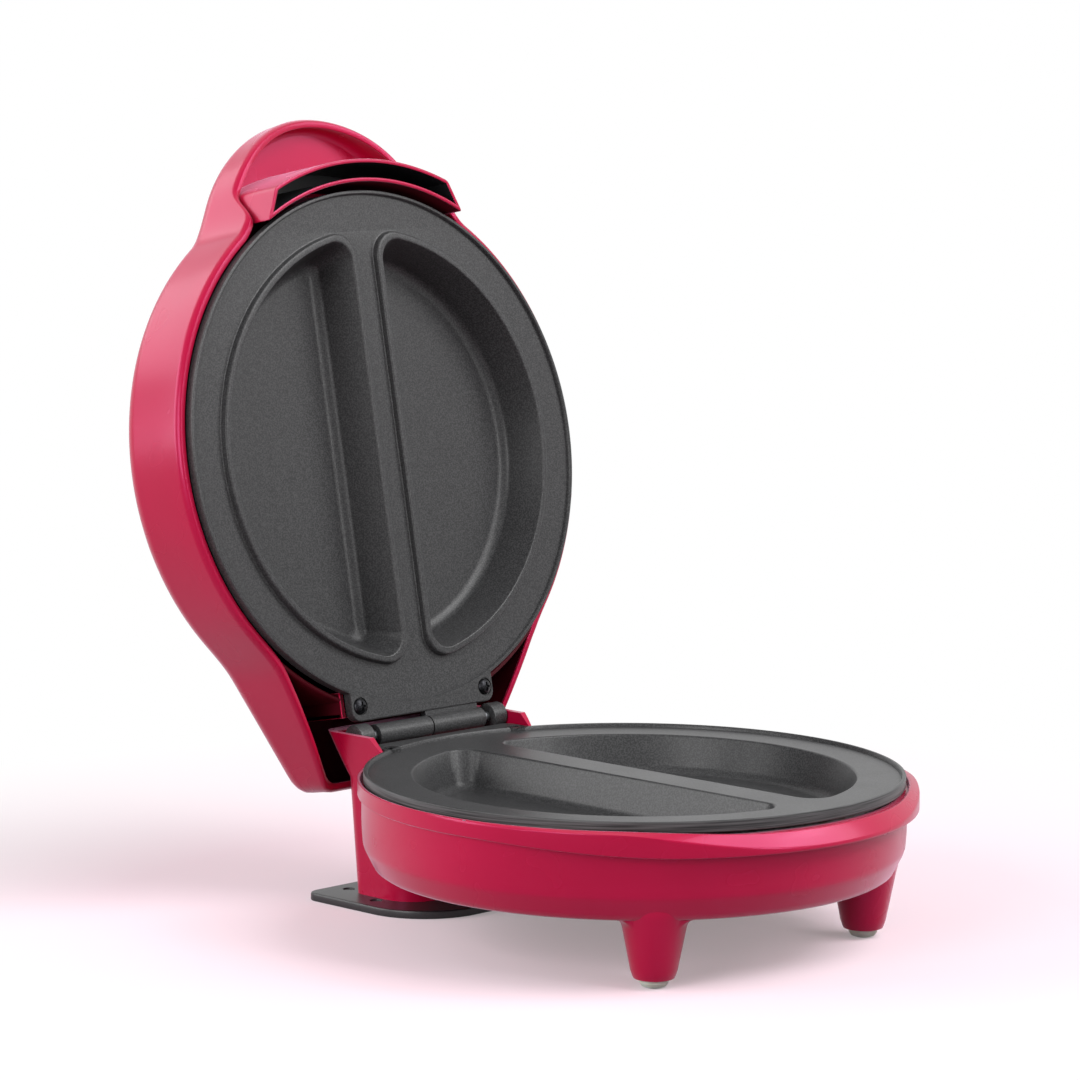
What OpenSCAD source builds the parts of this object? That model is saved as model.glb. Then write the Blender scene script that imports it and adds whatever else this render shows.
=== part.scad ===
// Countertop omelette maker with a hinged lid.
// Origin: on the table, straight below the hinge axis, midway across.
// +X runs along the hinge axis, +Y towards the rear, +Z up. Millimetres.
// The stored pose is the open one. The lid is drawn closed and turned back by lid_open.

/* [Plates] */
// Outer radius of both cooking plates
plate_r = 95; // [90:0.5:100]
// Thickness of a plate's flange
flange_t = 4; // [3.5:0.1:4.5]
// Width of the thin rim that stands up round a plate's face
rim_w = 1.7; // [1.2:0.1:2.5]
// Depth of a plate's face behind its rim
face_drop = 1.3; // [0.8:0.1:1.6]
// Height of the lower plate's rim above the table
plate_z = 58.6; // [56:0.1:62]
// Gap between the two rims when the lid is shut
rim_gap = 2; // [1.8:0.1:2.4]
// Depth of a pocket's floor behind the rim
pocket_depth = 15; // [12:0.5:17]
// Width of the face between a pocket's long curved edge and the plate's edge
pocket_margin = 17; // [15:0.5:23]
// Distance of a pocket's straight edge from the middle
pocket_half_gap = 7.5; // [6.5:0.1:10]
// Radius of a pocket's two corners at its mouth
pocket_corner = 8; // [6:0.5:10]
// Draft of a pocket's walls, in degrees
pocket_draft = 20; // [15:1:24]
// Radius between a pocket's walls and its floor
pocket_fillet = 6; // [4:0.5:7]
// Rounding of a pocket's mouth
mouth_round = 1; // [0.6:0.1:1.4]
// Thickness of the metal round a pocket
pocket_wall = 2.5; // [2:0.1:3]
// Height of the lip round each upper pocket, over the rim
lip_rise = 1.2; // [0.5:0.1:1.4]
// Width of that lip at its crest
lip_w = 2; // [1.5:0.1:2.2]

/* [Hinge] */
// Distance from the plates' edge back to the hinge axis
hinge_gap = 9; // [8:0.5:11]
// Height of the hinge axis over the lower rim
hinge_rise = 2.15; // [2:0.05:2.3]
// Angle of the open lid
lid_open = 100.9; // [90:0.1:103]
// Radius of the hinge barrel
barrel_r = 4; // [3.6:0.1:4.2]
// Half length of the barrel
barrel_half = 27; // [24:0.5:28]
// Seam between the barrel's two halves
barrel_seam = 0.4; // [0.3:0.1:0.8]
// Radius of the hinge pin
pin_r = 2; // [1.8:0.1:2.2]
// Running clearance round the pin
pin_clear = 0.06; // [0.04:0.01:0.09]
// Inner face of a hinge ear
ear_inner = 30.5; // [30:0.5:32]
// Width of a hinge ear
ear_w = 6.7; // [6:0.1:6.8]
// Outer radius of a hinge ear
ear_r = 4.9; // [4.2:0.1:5]
// Half width of the flange behind each plate
lug_half = 36; // [34:0.5:37]
// Gap kept between the flanges and the hinge axis
lug_gap = 5.6; // [5.4:0.1:6]

/* [Base housing] */
// How far the base's wall swells out past the plate's seat
base_swell = 0; // [-0.3:0.1:1.4]
// Thickness of the housings' walls
wall = 2.4; // [2:0.1:2.8]
// Gap between a plate's edge and the housing round it
plate_gap = 0.6; // [0.4:0.1:1]
// Height of the bowl's underside
bowl_z = 24.3; // [22:0.1:28]
// Height where the wall turns in towards the underside
crease_z = 32.5; // [30:0.5:36]
// Height of the base's rim
rim_z = 55.7; // [55.4:0.1:57]
// Difference between the front lip's radius and the plates'
lip_margin = 2; // [1.5:0.1:3.5]
// How far the lip's centre lies in front of the plate's centre
lip_shift = 3.6; // [2.5:0.1:4.5]
// Height of the lip's lower edge
lip_z = 47; // [45:0.5:49]
// Height of the dip in the front of the rim
dip_z = 53.5; // [52.5:0.1:54.5]

/* [Feet and column] */
// Distance of each front leg's middle inside the plates' edge
leg_inset = 14.2; // [13:0.1:20]
// Angle of each front leg from straight ahead
leg_angle = 42.1; // [38:0.1:46]
// Radius of a leg at its foot
leg_foot_r = 7.4; // [6.5:0.1:8.5]
// Radius of a leg where it meets the bowl
leg_top_r = 11.6; // [10:0.1:13]
// Radius of a foot pad
pad_r = 5; // [4.5:0.1:5.6]
// Height of a foot pad below its leg
pad_h = 3; // [2:0.1:3.5]
// Half width of the column at its foot
column_half = 33.7; // [30:0.1:35]
// Half width of the shoulders beside the hinge
shoulder_half = 40; // [39.8:0.1:42]
// Top of the shoulders over the table
shoulder_z = 62.6; // [62:0.1:63.5]
// Depth of the column behind the hinge axis, at its foot
column_back = 4.6; // [4:0.1:6]
// Depth of the shoulders behind the hinge axis
shoulder_back = 14; // [13:0.1:15]
// Front of the column, in front of the hinge axis
column_front = 27; // [25:0.5:29]
// Thickness of the stand plate
stand_t = 3; // [2.5:0.1:3.5]
// Half width of the stand plate
stand_half = 45; // [43:0.5:48]
// Rear edge of the stand plate behind the hinge axis
stand_back = 17.5; // [15:0.5:20]
// Front edge of the stand plate in front of the hinge axis
stand_front = 44.5; // [42:0.5:48]

/* [Lid housing] */
// Difference between the lid's radius and the plates'
lid_margin = 3.5; // [3.5:0.1:5.5]
// Height of the lid over its plate's rim
lid_h = 36; // [34:0.5:40]
// Height of the lid's free edge over its plate's rim
lid_edge_h = 3; // [2.5:0.1:3.5]
// Rounding along the lid's top edge
lid_round = 8; // [6:0.5:10]
// Radius of the handle tongue's outline
tongue_r = 52; // [50:0.5:54]
// Distance of the tongue's centre inside the plates' edge
tongue_setback = 22.4; // [21:0.1:24]
// Height of the tongue's free edge at its tip
tongue_edge_h = 21; // [19:0.5:23]
// Height of the hollow under the handle
dish_h = 27; // [25:0.5:29]
// Rear edge of the skirt behind the hinge axis
skirt_reach = 18.5; // [18:0.5:21]
// Distance from the plate's edge to the arc channel in front of it
channel_gap = 2.6; // [2.3:0.1:3.2]
// Width of the arc channel over its walls
channel_w = 8.4; // [7.4:0.1:9.2]
// Thickness of the channel's walls
channel_wall = 1.5; // [1.2:0.1:1.8]
// How far the channel stands out past the plate's rim
channel_out = 4; // [3:0.1:4.2]
// Angle of each end of the channel from straight ahead
channel_angle = 24.2; // [22:0.1:25]

/* [Fastenings and heating] */
// Radius of a small screw's head
screw_head_r = 3; // [2.6:0.1:3.2]
// Radius of a small screw's shank
screw_r = 1.5; // [1.2:0.1:1.6]
// Radius of a heater's tube
heater_r = 3.25; // [3:0.05:3.3]
// Distance of a heater's ring inside the plates' edge
heater_inset = 8.4; // [8:0.1:9]
// Thickness of a reflector
reflector_t = 0.8; // [0.6:0.1:1]
// Radius of the cord bush's bore
cord_bore_r = 3.6; // [3:0.1:4]
// Radius of an indicator lens
lens_r = 4; // [3:0.1:5]
// Distance of an indicator lens from the middle
lens_x = 9; // [7:0.5:12]

/* [Hidden] */
$fn = 96;

pink = "#C0385A";
dark = "#3A3A3A";
steel = "#B8BABC";
pale = "#D9DED2";

hinge_reach = plate_r + hinge_gap;
pocket_r = plate_r - pocket_margin;
hinge_z = plate_z + hinge_rise;
upper_z = plate_z + rim_gap;
flange_z = plate_z - flange_t;
lug_y = hinge_reach - lug_gap;
bore_r = pin_r + pin_clear;
seat_r = plate_r + plate_gap;
base_r = seat_r + base_swell;
lip_r = plate_r + lip_margin;
lid_r = plate_r + lid_margin;
leg_x = (plate_r - leg_inset) * sin(leg_angle);
leg_y = (plate_r - leg_inset) * cos(leg_angle);
tongue_y = plate_r - tongue_setback;
skirt_back = hinge_reach + skirt_reach;
skirt_side = plate_r + 12.3;
channel_in_r = plate_r + channel_gap;
channel_r = channel_in_r + channel_w;
heater_ring_r = plate_r - heater_inset;
core_r = plate_r - 35;
lid_top = upper_z + lid_h;
lid_edge_z = upper_z + lid_edge_h;
pocket_z = plate_z - pocket_depth - pocket_wall;
plate_screw_y = hinge_reach - 11.1;
plate_screw_x = ear_inner + 1.3;
lower_screw_y = hinge_reach - 14.5;
screw_recess = 0.5;
lug_corner = 4;
screw_gap = 0.2;
heater_top = flange_z - 0.2;
floor_z = bowl_z + wall;
reflector_r = plate_r - 15;
reflector_z = 35.5;
reflector_post_r = 4;
reflector_post_ring = plate_r - 35;
ear_outer = ear_inner + ear_w;
stand_screw_x = 28.6;
stand_screw_y = -8;
clamp_x = 9;
clamp_reach = 9;
cord_z = 20;
bush_r = cord_bore_r + 1.6;
block_x = 14;
block_y = plate_r - 33;
upper_reflector_z = lid_top - wall - 9.7;
thermostat_x = 38;
fuse_r = 1.7;
clamp_y = column_back - clamp_reach;
lamp_y = 21 - plate_r;
lamp_r = 1.6;
holder_x = 17;
holder_z = upper_reflector_z + reflector_t + 1.2;
holder_t = 1.6;
trough_half = ear_outer + 0.3;
trough_back = 8;
trough_front = 16;
rib_t = 1.8;
lug_wall_y = hinge_reach - 9.5;
thermostat_ear = 10.5;
lip_cone = 1.5;
facet_shift = 24;

// Point on a circle of radius r, a in degrees from +X
function polar(r, a) = [r * cos(a), r * sin(a)];
// Larger and smaller of two values with the corner between them rounded over k
function blend_max(a, b, k) = max(a, b) + pow(max(k - abs(a - b), 0) / k, 2) * k / 4;
function blend_min(a, b, k) = min(a, b) - pow(max(k - abs(a - b), 0) / k, 2) * k / 4;
// 0 to 1 with level ends while x runs from a to b
function ease(x, a, b) = let (t = max(0, min(1, (x - a) / (b - a)))) t * t * (3 - 2 * t);

// Faces of a closed loft of equal rings, each ring counter-clockwise, stacked in +Z
function loft_faces(rings, n) = concat(
  [[for (i = [n - 1:-1:0]) i]],
  [for (k = [0:rings - 2]) for (i = [0:n - 1]) [k * n + i, k * n + (i + 1) % n, (k + 1) * n + (i + 1) % n]],
  [for (k = [0:rings - 2]) for (i = [0:n - 1]) [k * n + i, (k + 1) * n + (i + 1) % n, (k + 1) * n + i]],
  [[for (i = [0:n - 1]) (rings - 1) * n + i]]);

module loft(rings) {
  n = len(rings[0]);
  mirrored = rings[len(rings) - 1][0][2] < rings[0][0][2];
  points = [for (ring = rings) for (p = ring) p];
  faces = loft_faces(len(rings), n);
  polyhedron(points, mirrored ? faces : [for (f = faces) [for (i = [len(f) - 1:-1:0]) f[i]]]);
}

// One D outline: straight edge at x = s, curved edge of radius r, corners of radius c
function d_ring(s, r, c, z) =
  let (yc = sqrt(pow(r - c, 2) - pow(s + c, 2)), ac = atan2(yc, s + c)) concat(
    [for (i = [0:20]) let (a = -ac + 2 * ac * i / 20) [r * cos(a), r * sin(a), z]],
    [for (i = [1:6]) let (a = ac + (180 - ac) * i / 6) [s + c + c * cos(a), yc + c * sin(a), z]],
    [for (i = [1:3]) [s, yc - 2 * yc * i / 4, z]],
    [for (i = [0:5]) let (a = 180 + (180 - ac) * i / 6) [s + c + c * cos(a), -yc + c * sin(a), z]]);

// Section of a pocket as pairs of inset and depth below the face, drafted, with both ends rounded
function pocket_section(depth, round, fillet, grow) =
  let (t = tan(pocket_draft), k = 1 / cos(pocket_draft), g = -grow * k,
       ce = round * t - round * k + g, cf = (depth - fillet) * t + fillet * k + g) concat(
    round > 0 ? [for (i = [0:3]) let (a = 90 - (90 - pocket_draft) * i / 3)
      [ce + round * cos(a), round - round * sin(a)]] : [[g, 0]],
    [for (i = [0:5]) let (a = pocket_draft + (90 - pocket_draft) * i / 5)
      [cf - fillet * cos(a), depth - fillet + fillet * sin(a)]]);

function pocket_corner_at(inset) = max(3.5, pocket_corner - 0.55 * inset);
function pocket_ring(inset, z) =
  d_ring(pocket_half_gap + inset, pocket_r - inset, pocket_corner_at(inset), z);

// Hollow of one pocket, reaching up past the face
module pocket_hollow(face, depth, up) {
  section = pocket_section(depth, mouth_round, pocket_fillet, 0);
  loft(concat([pocket_ring(section[0][0], face + up)], [for (p = section) pocket_ring(p[0], face - p[1])]));
}

// Metal round one pocket, starting inside the flange
module pocket_shell(face, depth) {
  section = pocket_section(depth + pocket_wall, 0, pocket_fillet + pocket_wall, pocket_wall);
  loft(concat([pocket_ring(section[0][0], face - 0.6)],
    [for (i = [1:len(section) - 1]) pocket_ring(section[i][0], face - section[i][1])]));
}

module both_sides() {
  children();
  mirror([1, 0, 0]) children();
}

module behind_plate() {
  translate([0, -hinge_reach, 0]) children();
}

// Turns what is drawn closed into its place on the open lid
module open_lid() {
  translate([0, 0, hinge_z]) rotate([-lid_open, 0, 0]) translate([0, 0, -hinge_z]) children();
}

module x_rod(r, x0, x1) {
  translate([x0, 0, hinge_z]) rotate([0, 90, 0]) cylinder(r = r, h = x1 - x0);
}

// Outline of the flange with its lug behind
module flange_outline() {
  circle(r = plate_r);
  translate([-lug_half, core_r]) square([2 * lug_half, lug_y - lug_corner - core_r]);
  translate([-lug_half + lug_corner, core_r]) square([2 * (lug_half - lug_corner), lug_y - core_r]);
  both_sides() translate([lug_half - lug_corner, lug_y - lug_corner]) circle(r = lug_corner);
}

// Raised lip round one pocket's mouth, standing up from the face
module pocket_lip() {
  spread = lip_w + 1.2;
  loft([
    pocket_ring(-spread, -face_drop - 0.6),
    pocket_ring(-spread, -face_drop),
    pocket_ring(-lip_w, lip_rise - 0.4),
    pocket_ring(-lip_w + 0.5, lip_rise)
  ]);
}

// Plate with its rim plane at z = 0 and its pockets hanging below, lips only on the upper one
module plate_metal(lips) {
  difference() {
    translate([0, 0, -flange_t]) linear_extrude(flange_t) flange_outline();
    translate([0, 0, -face_drop]) cylinder(r = plate_r - rim_w, h = face_drop + 1);
  }
  both_sides() {
    pocket_shell(-face_drop, pocket_depth - face_drop);
    if (lips) pocket_lip();
  }
}

// What is cut from a plate: pockets and countersunk screw holes at distance screw_y
module plate_cuts(lips, screw_y, head_z) {
  both_sides() {
    pocket_hollow(lips ? lip_rise : -face_drop, pocket_depth + (lips ? lip_rise : -face_drop), 3);
    translate([plate_screw_x, screw_y, -flange_t - 1]) cylinder(r = screw_r + screw_gap, h = flange_t + 2);
    translate([plate_screw_x, screw_y, head_z]) cylinder(r = screw_head_r + 2 * screw_gap, h = flange_t);
  }
}

// Lower plate: left half of the barrel and both ears are cast on
module lower_plate() color(dark) difference() {
  union() {
    behind_plate() translate([0, 0, plate_z]) plate_metal(false);
    x_rod(barrel_r, -barrel_half, -barrel_seam / 2);
    translate([-barrel_half, -lug_gap - 1, flange_z])
      cube([barrel_half - barrel_seam / 2, lug_gap + 2, flange_t - 0.6]);
    both_sides() {
      x_rod(ear_r, ear_inner, ear_outer);
      translate([ear_inner, -lug_gap - 6, flange_z]) cube([ear_w, lug_gap + 8, flange_t - 0.6]);
    }
  }
  behind_plate() translate([0, 0, plate_z]) plate_cuts(false, lower_screw_y, -face_drop - screw_recess);
  x_rod(bore_r, -ear_outer - 1, ear_outer + 1);
  behind_plate() for (s = [-1, 1]) translate([thermostat_x, thermostat_ear * s, pocket_z - 1])
    cylinder(r = screw_r + screw_gap, h = 2.8);
}

// Upper plate: the same turned over, with the right half of the barrel
module upper_plate() color(dark) open_lid() difference() {
  union() {
    behind_plate() translate([0, 0, upper_z]) mirror([0, 0, 1]) plate_metal(true);
    x_rod(barrel_r, barrel_seam / 2, barrel_half);
    translate([barrel_seam / 2, -lug_gap - 1, upper_z + 0.4])
      cube([barrel_half - barrel_seam / 2, lug_gap + 1, flange_t - 1]);
  }
  behind_plate() translate([0, 0, upper_z]) mirror([0, 0, 1]) plate_cuts(true, plate_screw_y, -screw_recess);
  x_rod(bore_r, -1, barrel_half + 1);
}

module hinge_pin() color(steel) x_rod(pin_r, -ear_outer, ear_outer);

// Outline of the base bowl's outer wall, from the underside up to the rim
function bowl_section() = [
  [0, bowl_z], [base_r - 8, bowl_z],
  for (i = [0:4]) let (a = -90 + 60 * i / 4) [base_r - 8 + 4.5 * cos(a), bowl_z + 4.5 + 4.5 * sin(a)],
  [base_r - 1.4, crease_z - 2], [base_r - 0.5, crease_z + 1.5], [base_r, crease_z + 12],
  [base_r + 0.8, lip_z], [seat_r + 1.4, rim_z - 1.5],
  for (i = [0:4]) let (a = 90 * i / 4) [seat_r + 0.4 + 1 * cos(a), rim_z - 1 + 1 * sin(a)],
  [0, rim_z]
];

// The lip: a ring about a centre set forward, so that it swells towards the front
module front_lip() translate([0, -lip_shift, 0]) {
  rotate_extrude() polygon([
    [core_r, lip_z - 6], [lip_r - 5.8, lip_z - 6], [lip_r - 0.8, lip_z - 1],
    for (i = [0:3]) let (a = -30 + 30 * i / 3) [lip_r - 1.5 + 1.5 * cos(a), lip_z + 0.4 + 1.5 * sin(a)],
    [lip_r - 0.1, rim_z - 3.2],
    for (i = [0:4]) let (a = 90 * i / 4) [lip_r - 2.6 + 2.5 * cos(a), rim_z - 2.5 + 2.5 * sin(a)],
    [core_r, rim_z]
  ]);
}

// Cone that planes the light crescent along the top of the lip
module facet_cut() translate([0, facet_shift, 0]) {
  reach = lip_r + lip_shift - 4 + facet_shift;
  rotate_extrude() polygon([
    [reach - 2, dip_z + 2 * lip_cone], [reach + 12, dip_z - 12 * lip_cone], [reach + 30, dip_z - 12 * lip_cone],
    [reach + 30, rim_z + 10], [reach - 2, rim_z + 10]
  ]);
}

// What is cut from the rim's front, with a slope at each end
module front_dip() {
  front = -plate_r - 20;
  slope_start = 9 - plate_r;
  slope_end = 19 - plate_r;
  rotate([90, 0, 90]) translate([0, 0, -plate_r]) linear_extrude(2 * plate_r) polygon([
    [front, dip_z], [slope_start, dip_z], [slope_end, rim_z + 0.6], [slope_end, rim_z + 9], [front, rim_z + 9]
  ]);
}

// Outline of the column at height z, drawn in by inset: it leans out, then flares to the shoulders
function column_ring(z, inset) = let (
  low = min(1, z / 46), flare = max(0, (z - 46) / (shoulder_z - 46)),
  half = column_half + 2.3 * low + (shoulder_half - column_half - 2.3) * pow(flare, 0.85) - inset,
  back = column_back + 2 * low + (shoulder_back - column_back - 2) * flare - inset,
  front = column_front - inset, rc = 6 - inset / 2, fc = 14 - inset) concat(
  [for (i = [0:6]) let (a = 15 * i) [half - rc + rc * cos(a), back - rc + rc * sin(a), z]],
  [for (i = [0:6]) let (a = 90 + 15 * i) [-half + rc + rc * cos(a), back - rc + rc * sin(a), z]],
  [for (i = [0:6]) let (a = 180 + 15 * i) [-half + fc + fc * cos(a), -front + fc + fc * sin(a), z]],
  [for (i = [0:6]) let (a = 270 + 15 * i) [half - fc + fc * cos(a), -front + fc + fc * sin(a), z]]);

module column_solid() loft([for (z = [stand_t, 46, 49.5, 53, 56, 59.5, shoulder_z]) column_ring(z, 0)]);
module column_hollow() loft([for (z = [stand_t - 0.5, flange_z - wall]) column_ring(z, wall)]);

// What clears the plate and slopes the front of the shoulders
module shoulder_front() {
  rotate([90, 0, 90]) translate([0, 0, -60]) linear_extrude(120) polygon([
    [-60, rim_z], [-17.5, rim_z], [-15.5, plate_z - 0.3], [-10.5, shoulder_z + 0.5], [-10.5, 80], [-60, 80]
  ]);
}

module leg(z_top) {
  translate([leg_x, -leg_y, 0]) rotate_extrude() polygon([
    [0, pad_h], [leg_foot_r - 1, pad_h],
    for (i = [0:3]) let (a = -90 + 90 * i / 3) [leg_foot_r - 1 + cos(a), pad_h + 1 + sin(a)],
    [leg_top_r, bowl_z], [leg_top_r + 0.6, crease_z - 1.5], [leg_top_r - 3, z_top], [0, z_top]
  ]);
}

module leg_hollow() translate([leg_x, -leg_y, 0]) {
  translate([0, 0, pad_h - 1]) cylinder(r = pad_r - 2, h = 7);
  translate([0, 0, pad_h + 8]) cylinder(r1 = leg_foot_r - wall + 1, r2 = leg_top_r - wall, h = bowl_z + 4 - pad_h - 8);
}

// Places of the three posts that carry a reflector
module at_posts() for (a = [30, 150, 270]) translate(polar(reflector_post_ring, a)) children();

// Base housing: bowl, lip, legs, column and shoulders in one moulding
module base_housing() color(pink) difference() {
  union() {
    difference() {
      union() {
        behind_plate() {
          rotate_extrude() polygon(bowl_section());
          difference() {
            front_lip();
            facet_cut();
          }
          both_sides() leg(crease_z);
        }
        difference() {
          column_solid();
          shoulder_front();
        }
      }
      behind_plate() {
        rotate_extrude() polygon([
          [0, floor_z], [base_r - 11, floor_z], [base_r - 4.8, crease_z], [base_r - 2.8, crease_z + 4],
          [seat_r - 2.8, flange_z + 1], [0, flange_z + 1]
        ]);
        translate([0, 0, flange_z]) cylinder(r = seat_r, h = 30);
        both_sides() leg_hollow();
      }
      column_hollow();
      translate([-trough_half, -trough_front, flange_z]) cube([2 * trough_half, trough_front + trough_back, 20]);
      behind_plate() front_dip();
    }
    behind_plate() {
      at_posts() translate([0, 0, floor_z - 0.5]) cylinder(r = reflector_post_r, h = reflector_z - floor_z + 0.5);
      both_sides() translate([plate_screw_x, lower_screw_y, 44]) cylinder(r = 3.4, h = flange_z - 44);
    }
    both_sides() {
      translate([stand_screw_x, stand_screw_y, stand_t]) cylinder(r = 4, h = 16);
      translate([clamp_x, column_back, cord_z]) rotate([90, 0, 0]) cylinder(r = 3, h = clamp_reach);
    }
  }
  behind_plate() {
    at_posts() translate([0, 0, floor_z + 1]) cylinder(r = screw_r + screw_gap, h = 20);
    both_sides() translate([plate_screw_x, lower_screw_y, 44.8]) cylinder(r = screw_r + screw_gap, h = 20);
    both_sides() translate([block_x, block_y, floor_z - 1.6]) cylinder(r = screw_r + screw_gap, h = 5);
  }
  both_sides() {
    translate([stand_screw_x, stand_screw_y, stand_t - 1]) cylinder(r = screw_r + screw_gap, h = 13);
    translate([clamp_x, column_back - wall, cord_z]) rotate([90, 0, 0])
      cylinder(r = screw_r + screw_gap, h = clamp_reach + 5);
  }
  translate([0, column_back + 9, cord_z]) rotate([90, 0, 0]) cylinder(r = bush_r, h = 15);
  translate([0, column_back + 9.4, cord_z]) rotate([90, 0, 0]) cylinder(r = bush_r + 1.9, h = 9);
}

module foot_pad() {
  translate([leg_x, -leg_y, 0]) rotate_extrude() polygon([
    [0, 0], [pad_r - 2.5, 0], [pad_r - 0.8, 0.6], [pad_r, 1.8], [pad_r, pad_h],
    [pad_r - 2.05, pad_h], [pad_r - 2.05, pad_h + 5.5], [0, pad_h + 5.5]
  ]);
}
module right_foot_pad() color(pale) behind_plate() foot_pad();
module left_foot_pad() color(pale) behind_plate() mirror([1, 0, 0]) foot_pad();

// Stand plate: square behind, rounded in front, flat on the table
module stand_outline() {
  rear = 5;
  nose = 26;
  translate([-stand_half + rear, -stand_front + nose]) square([2 * (stand_half - rear), stand_back + stand_front - nose]);
  translate([-stand_half, -stand_front + nose]) square([2 * stand_half, stand_back + stand_front - nose - rear]);
  translate([-stand_half + nose, -stand_front]) square([2 * (stand_half - nose), stand_front + stand_back]);
  both_sides() {
    translate([stand_half - rear, stand_back - rear]) circle(r = rear);
    translate([stand_half - nose, -stand_front + nose]) circle(r = nose);
  }
}

module stand_plate() color(dark) difference() {
  linear_extrude(stand_t) stand_outline();
  both_sides() {
    translate([stand_screw_x, stand_screw_y, -1]) cylinder(r = screw_r + screw_gap, h = stand_t + 2);
    translate([stand_screw_x, stand_screw_y, -1]) cylinder(r = screw_head_r + screw_gap, h = 1 + 0.7 * screw_head_r);
    for (p = [[37, -11.6], [30.6, 9.6]]) translate([p[0], p[1], stand_t - 0.5]) cylinder(r = 2.4, h = 1);
  }
}

// Screw with a cross recess, pointing down from its head's seat at z = 0
module screw(length) {
  head_h = 0.6 * screw_head_r;
  difference() {
    union() {
      cylinder(r = screw_head_r, h = head_h);
      translate([0, 0, -length]) cylinder(r = screw_r, h = length + 0.1);
    }
    for (a = [0, 90]) rotate([0, 0, a])
      translate([-0.55 * screw_head_r, -0.13 * screw_head_r, 0.4 * head_h])
        cube([1.1 * screw_head_r, 0.26 * screw_head_r, head_h]);
  }
}

module stand_plate_screws() color(steel) both_sides()
  translate([stand_screw_x, stand_screw_y, 0.7 * screw_head_r]) mirror([0, 0, 1]) screw(9);

module lower_plate_screws() color(dark) behind_plate() both_sides()
  translate([plate_screw_x, lower_screw_y, plate_z - face_drop - screw_recess]) screw(8);

module upper_plate_screws() color(dark) open_lid() behind_plate() both_sides()
  translate([plate_screw_x, plate_screw_y, upper_z + screw_recess])
    mirror([0, 0, 1]) screw(9);

// Lid outline as a radius at angle a from straight ahead: circle, handle tongue and rear skirt
function tongue_at(a) = let (s = sin(a)) cos(a) > 0 ?
  tongue_y * cos(a) + sqrt(max(0, pow(tongue_r, 2) - pow(tongue_y * s, 2))) : 0;
function skirt_at(a) = let (b = 180 - a, side = skirt_side / (sin(b) + 0.555 * cos(b)))
  b > 75 ? 0 : blend_min(side, skirt_back / cos(b), 5);
function lid_r_at(a) = blend_max(blend_max(lid_r, tongue_at(a), 9), skirt_at(a), 3);

// Height of the free edge over the plate's rim at angle a
function edge_h_at(a) = let (r = lid_r_at(a), y = -r * cos(a), back = max(0, y - 75))
  lid_edge_h + 0.13 * back + 0.0027 * back * back
  + ease(a, 31, 24) * (16 - lid_edge_h) + ease(a, 24, 0) * (tongue_edge_h - 16);

// Height of the hollow's ceiling at angle a: lower under the handle
function ceiling_at(a) = lid_h - wall - ease(a, 30, 26.5) * (lid_h - wall - dish_h);

// One ring of the lid: radius and height come from the section, at the angles of lid_angles
lid_step = 3;
lid_angles = [for (i = [0:360 / lid_step - 1]) i * lid_step];
function fold(a) = a > 180 ? 360 - a : a;
function lid_point(a, r, h) = [r * sin(a), -r * cos(a), upper_z + h];

// Section at angle a, from the top's middle over the outside and back along the inside
function lid_section(a) = let (
  r = lid_r_at(a), e = edge_h_at(a), c = ceiling_at(a), draft = 0.012 * (lid_h - lid_round - e),
  k = lid_round, in = r - wall, ki = min(lid_round - wall, 0.45 * (c - e)), low = min(in - ki, channel_in_r + channel_wall / 2)) concat(
  [[0.3, lid_h], [r - k - 12, lid_h]],
  [for (i = [0:5]) let (b = 90 - 18 * i) [r - k + k * cos(b), lid_h - k + k * sin(b)]],
  [[r + draft / 2, (lid_h - k + e) / 2 + 1], [r + 0.4, e + 2.6], [r - 0.3, e + 0.8], [r - 1, e]],
  [[in - 0.4, e], [in, e + 1.4], [in, (c - ki + e) / 2 + 1]],
  [for (i = [0:4]) let (b = 22.5 * i) [in - ki + ki * cos(b), c - ki + ki * sin(b)]],
  [[low, c], [low - 2, c], [low - 4, lid_h - wall], [0.3, lid_h - wall]]);

module lid_shell() {
  sections = [for (a = lid_angles) lid_section(fold(a))];
  n = len(lid_angles);
  rings = [for (k = [0:len(sections[0]) - 1])
    [for (i = [0:n - 1]) lid_point(lid_angles[i], sections[i][k][0], sections[i][k][1])]];
  m = len(rings);
  points = [for (ring = rings) for (p = ring) p];
  side = [for (k = [0:m - 2]) for (i = [0:n - 1]) for (t = [0, 1]) t == 0 ?
    [k * n + i, k * n + (i + 1) % n, (k + 1) * n + (i + 1) % n] :
    [k * n + i, (k + 1) * n + (i + 1) % n, (k + 1) * n + i]];
  top = [[for (i = [n - 1:-1:0]) i]];
  under = [[for (i = [0:n - 1]) (m - 1) * n + i]];
  polyhedron(points, concat(side, top, under));
}

// Plan of the arc channel, drawn in by inset: a ring cut off by two slanted ends
module channel_plan(inset) {
  lean = 0.45;
  end_x = channel_r * sin(channel_angle) - 1.1 * inset;
  end_y = channel_r * cos(channel_angle);
  intersection() {
    difference() {
      circle(r = channel_r - inset);
      circle(r = channel_in_r + inset);
    }
    polygon([
      [-end_x + lean * 30, -end_y - 30], [end_x - lean * 30, -end_y - 30],
      [end_x + lean * 30, -end_y + 30], [-end_x - lean * 30, -end_y + 30]
    ]);
  }
}

// Arc channel in front of the plate, open towards the base
module channel() {
  root_z = lid_top - wall + 0.3;
  out_z = upper_z - channel_out;
  translate([0, 0, out_z]) difference() {
    linear_extrude(root_z - out_z) channel_plan(0);
    translate([0, 0, -1]) linear_extrude(root_z - out_z + 2) channel_plan(channel_wall);
  }
}

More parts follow.
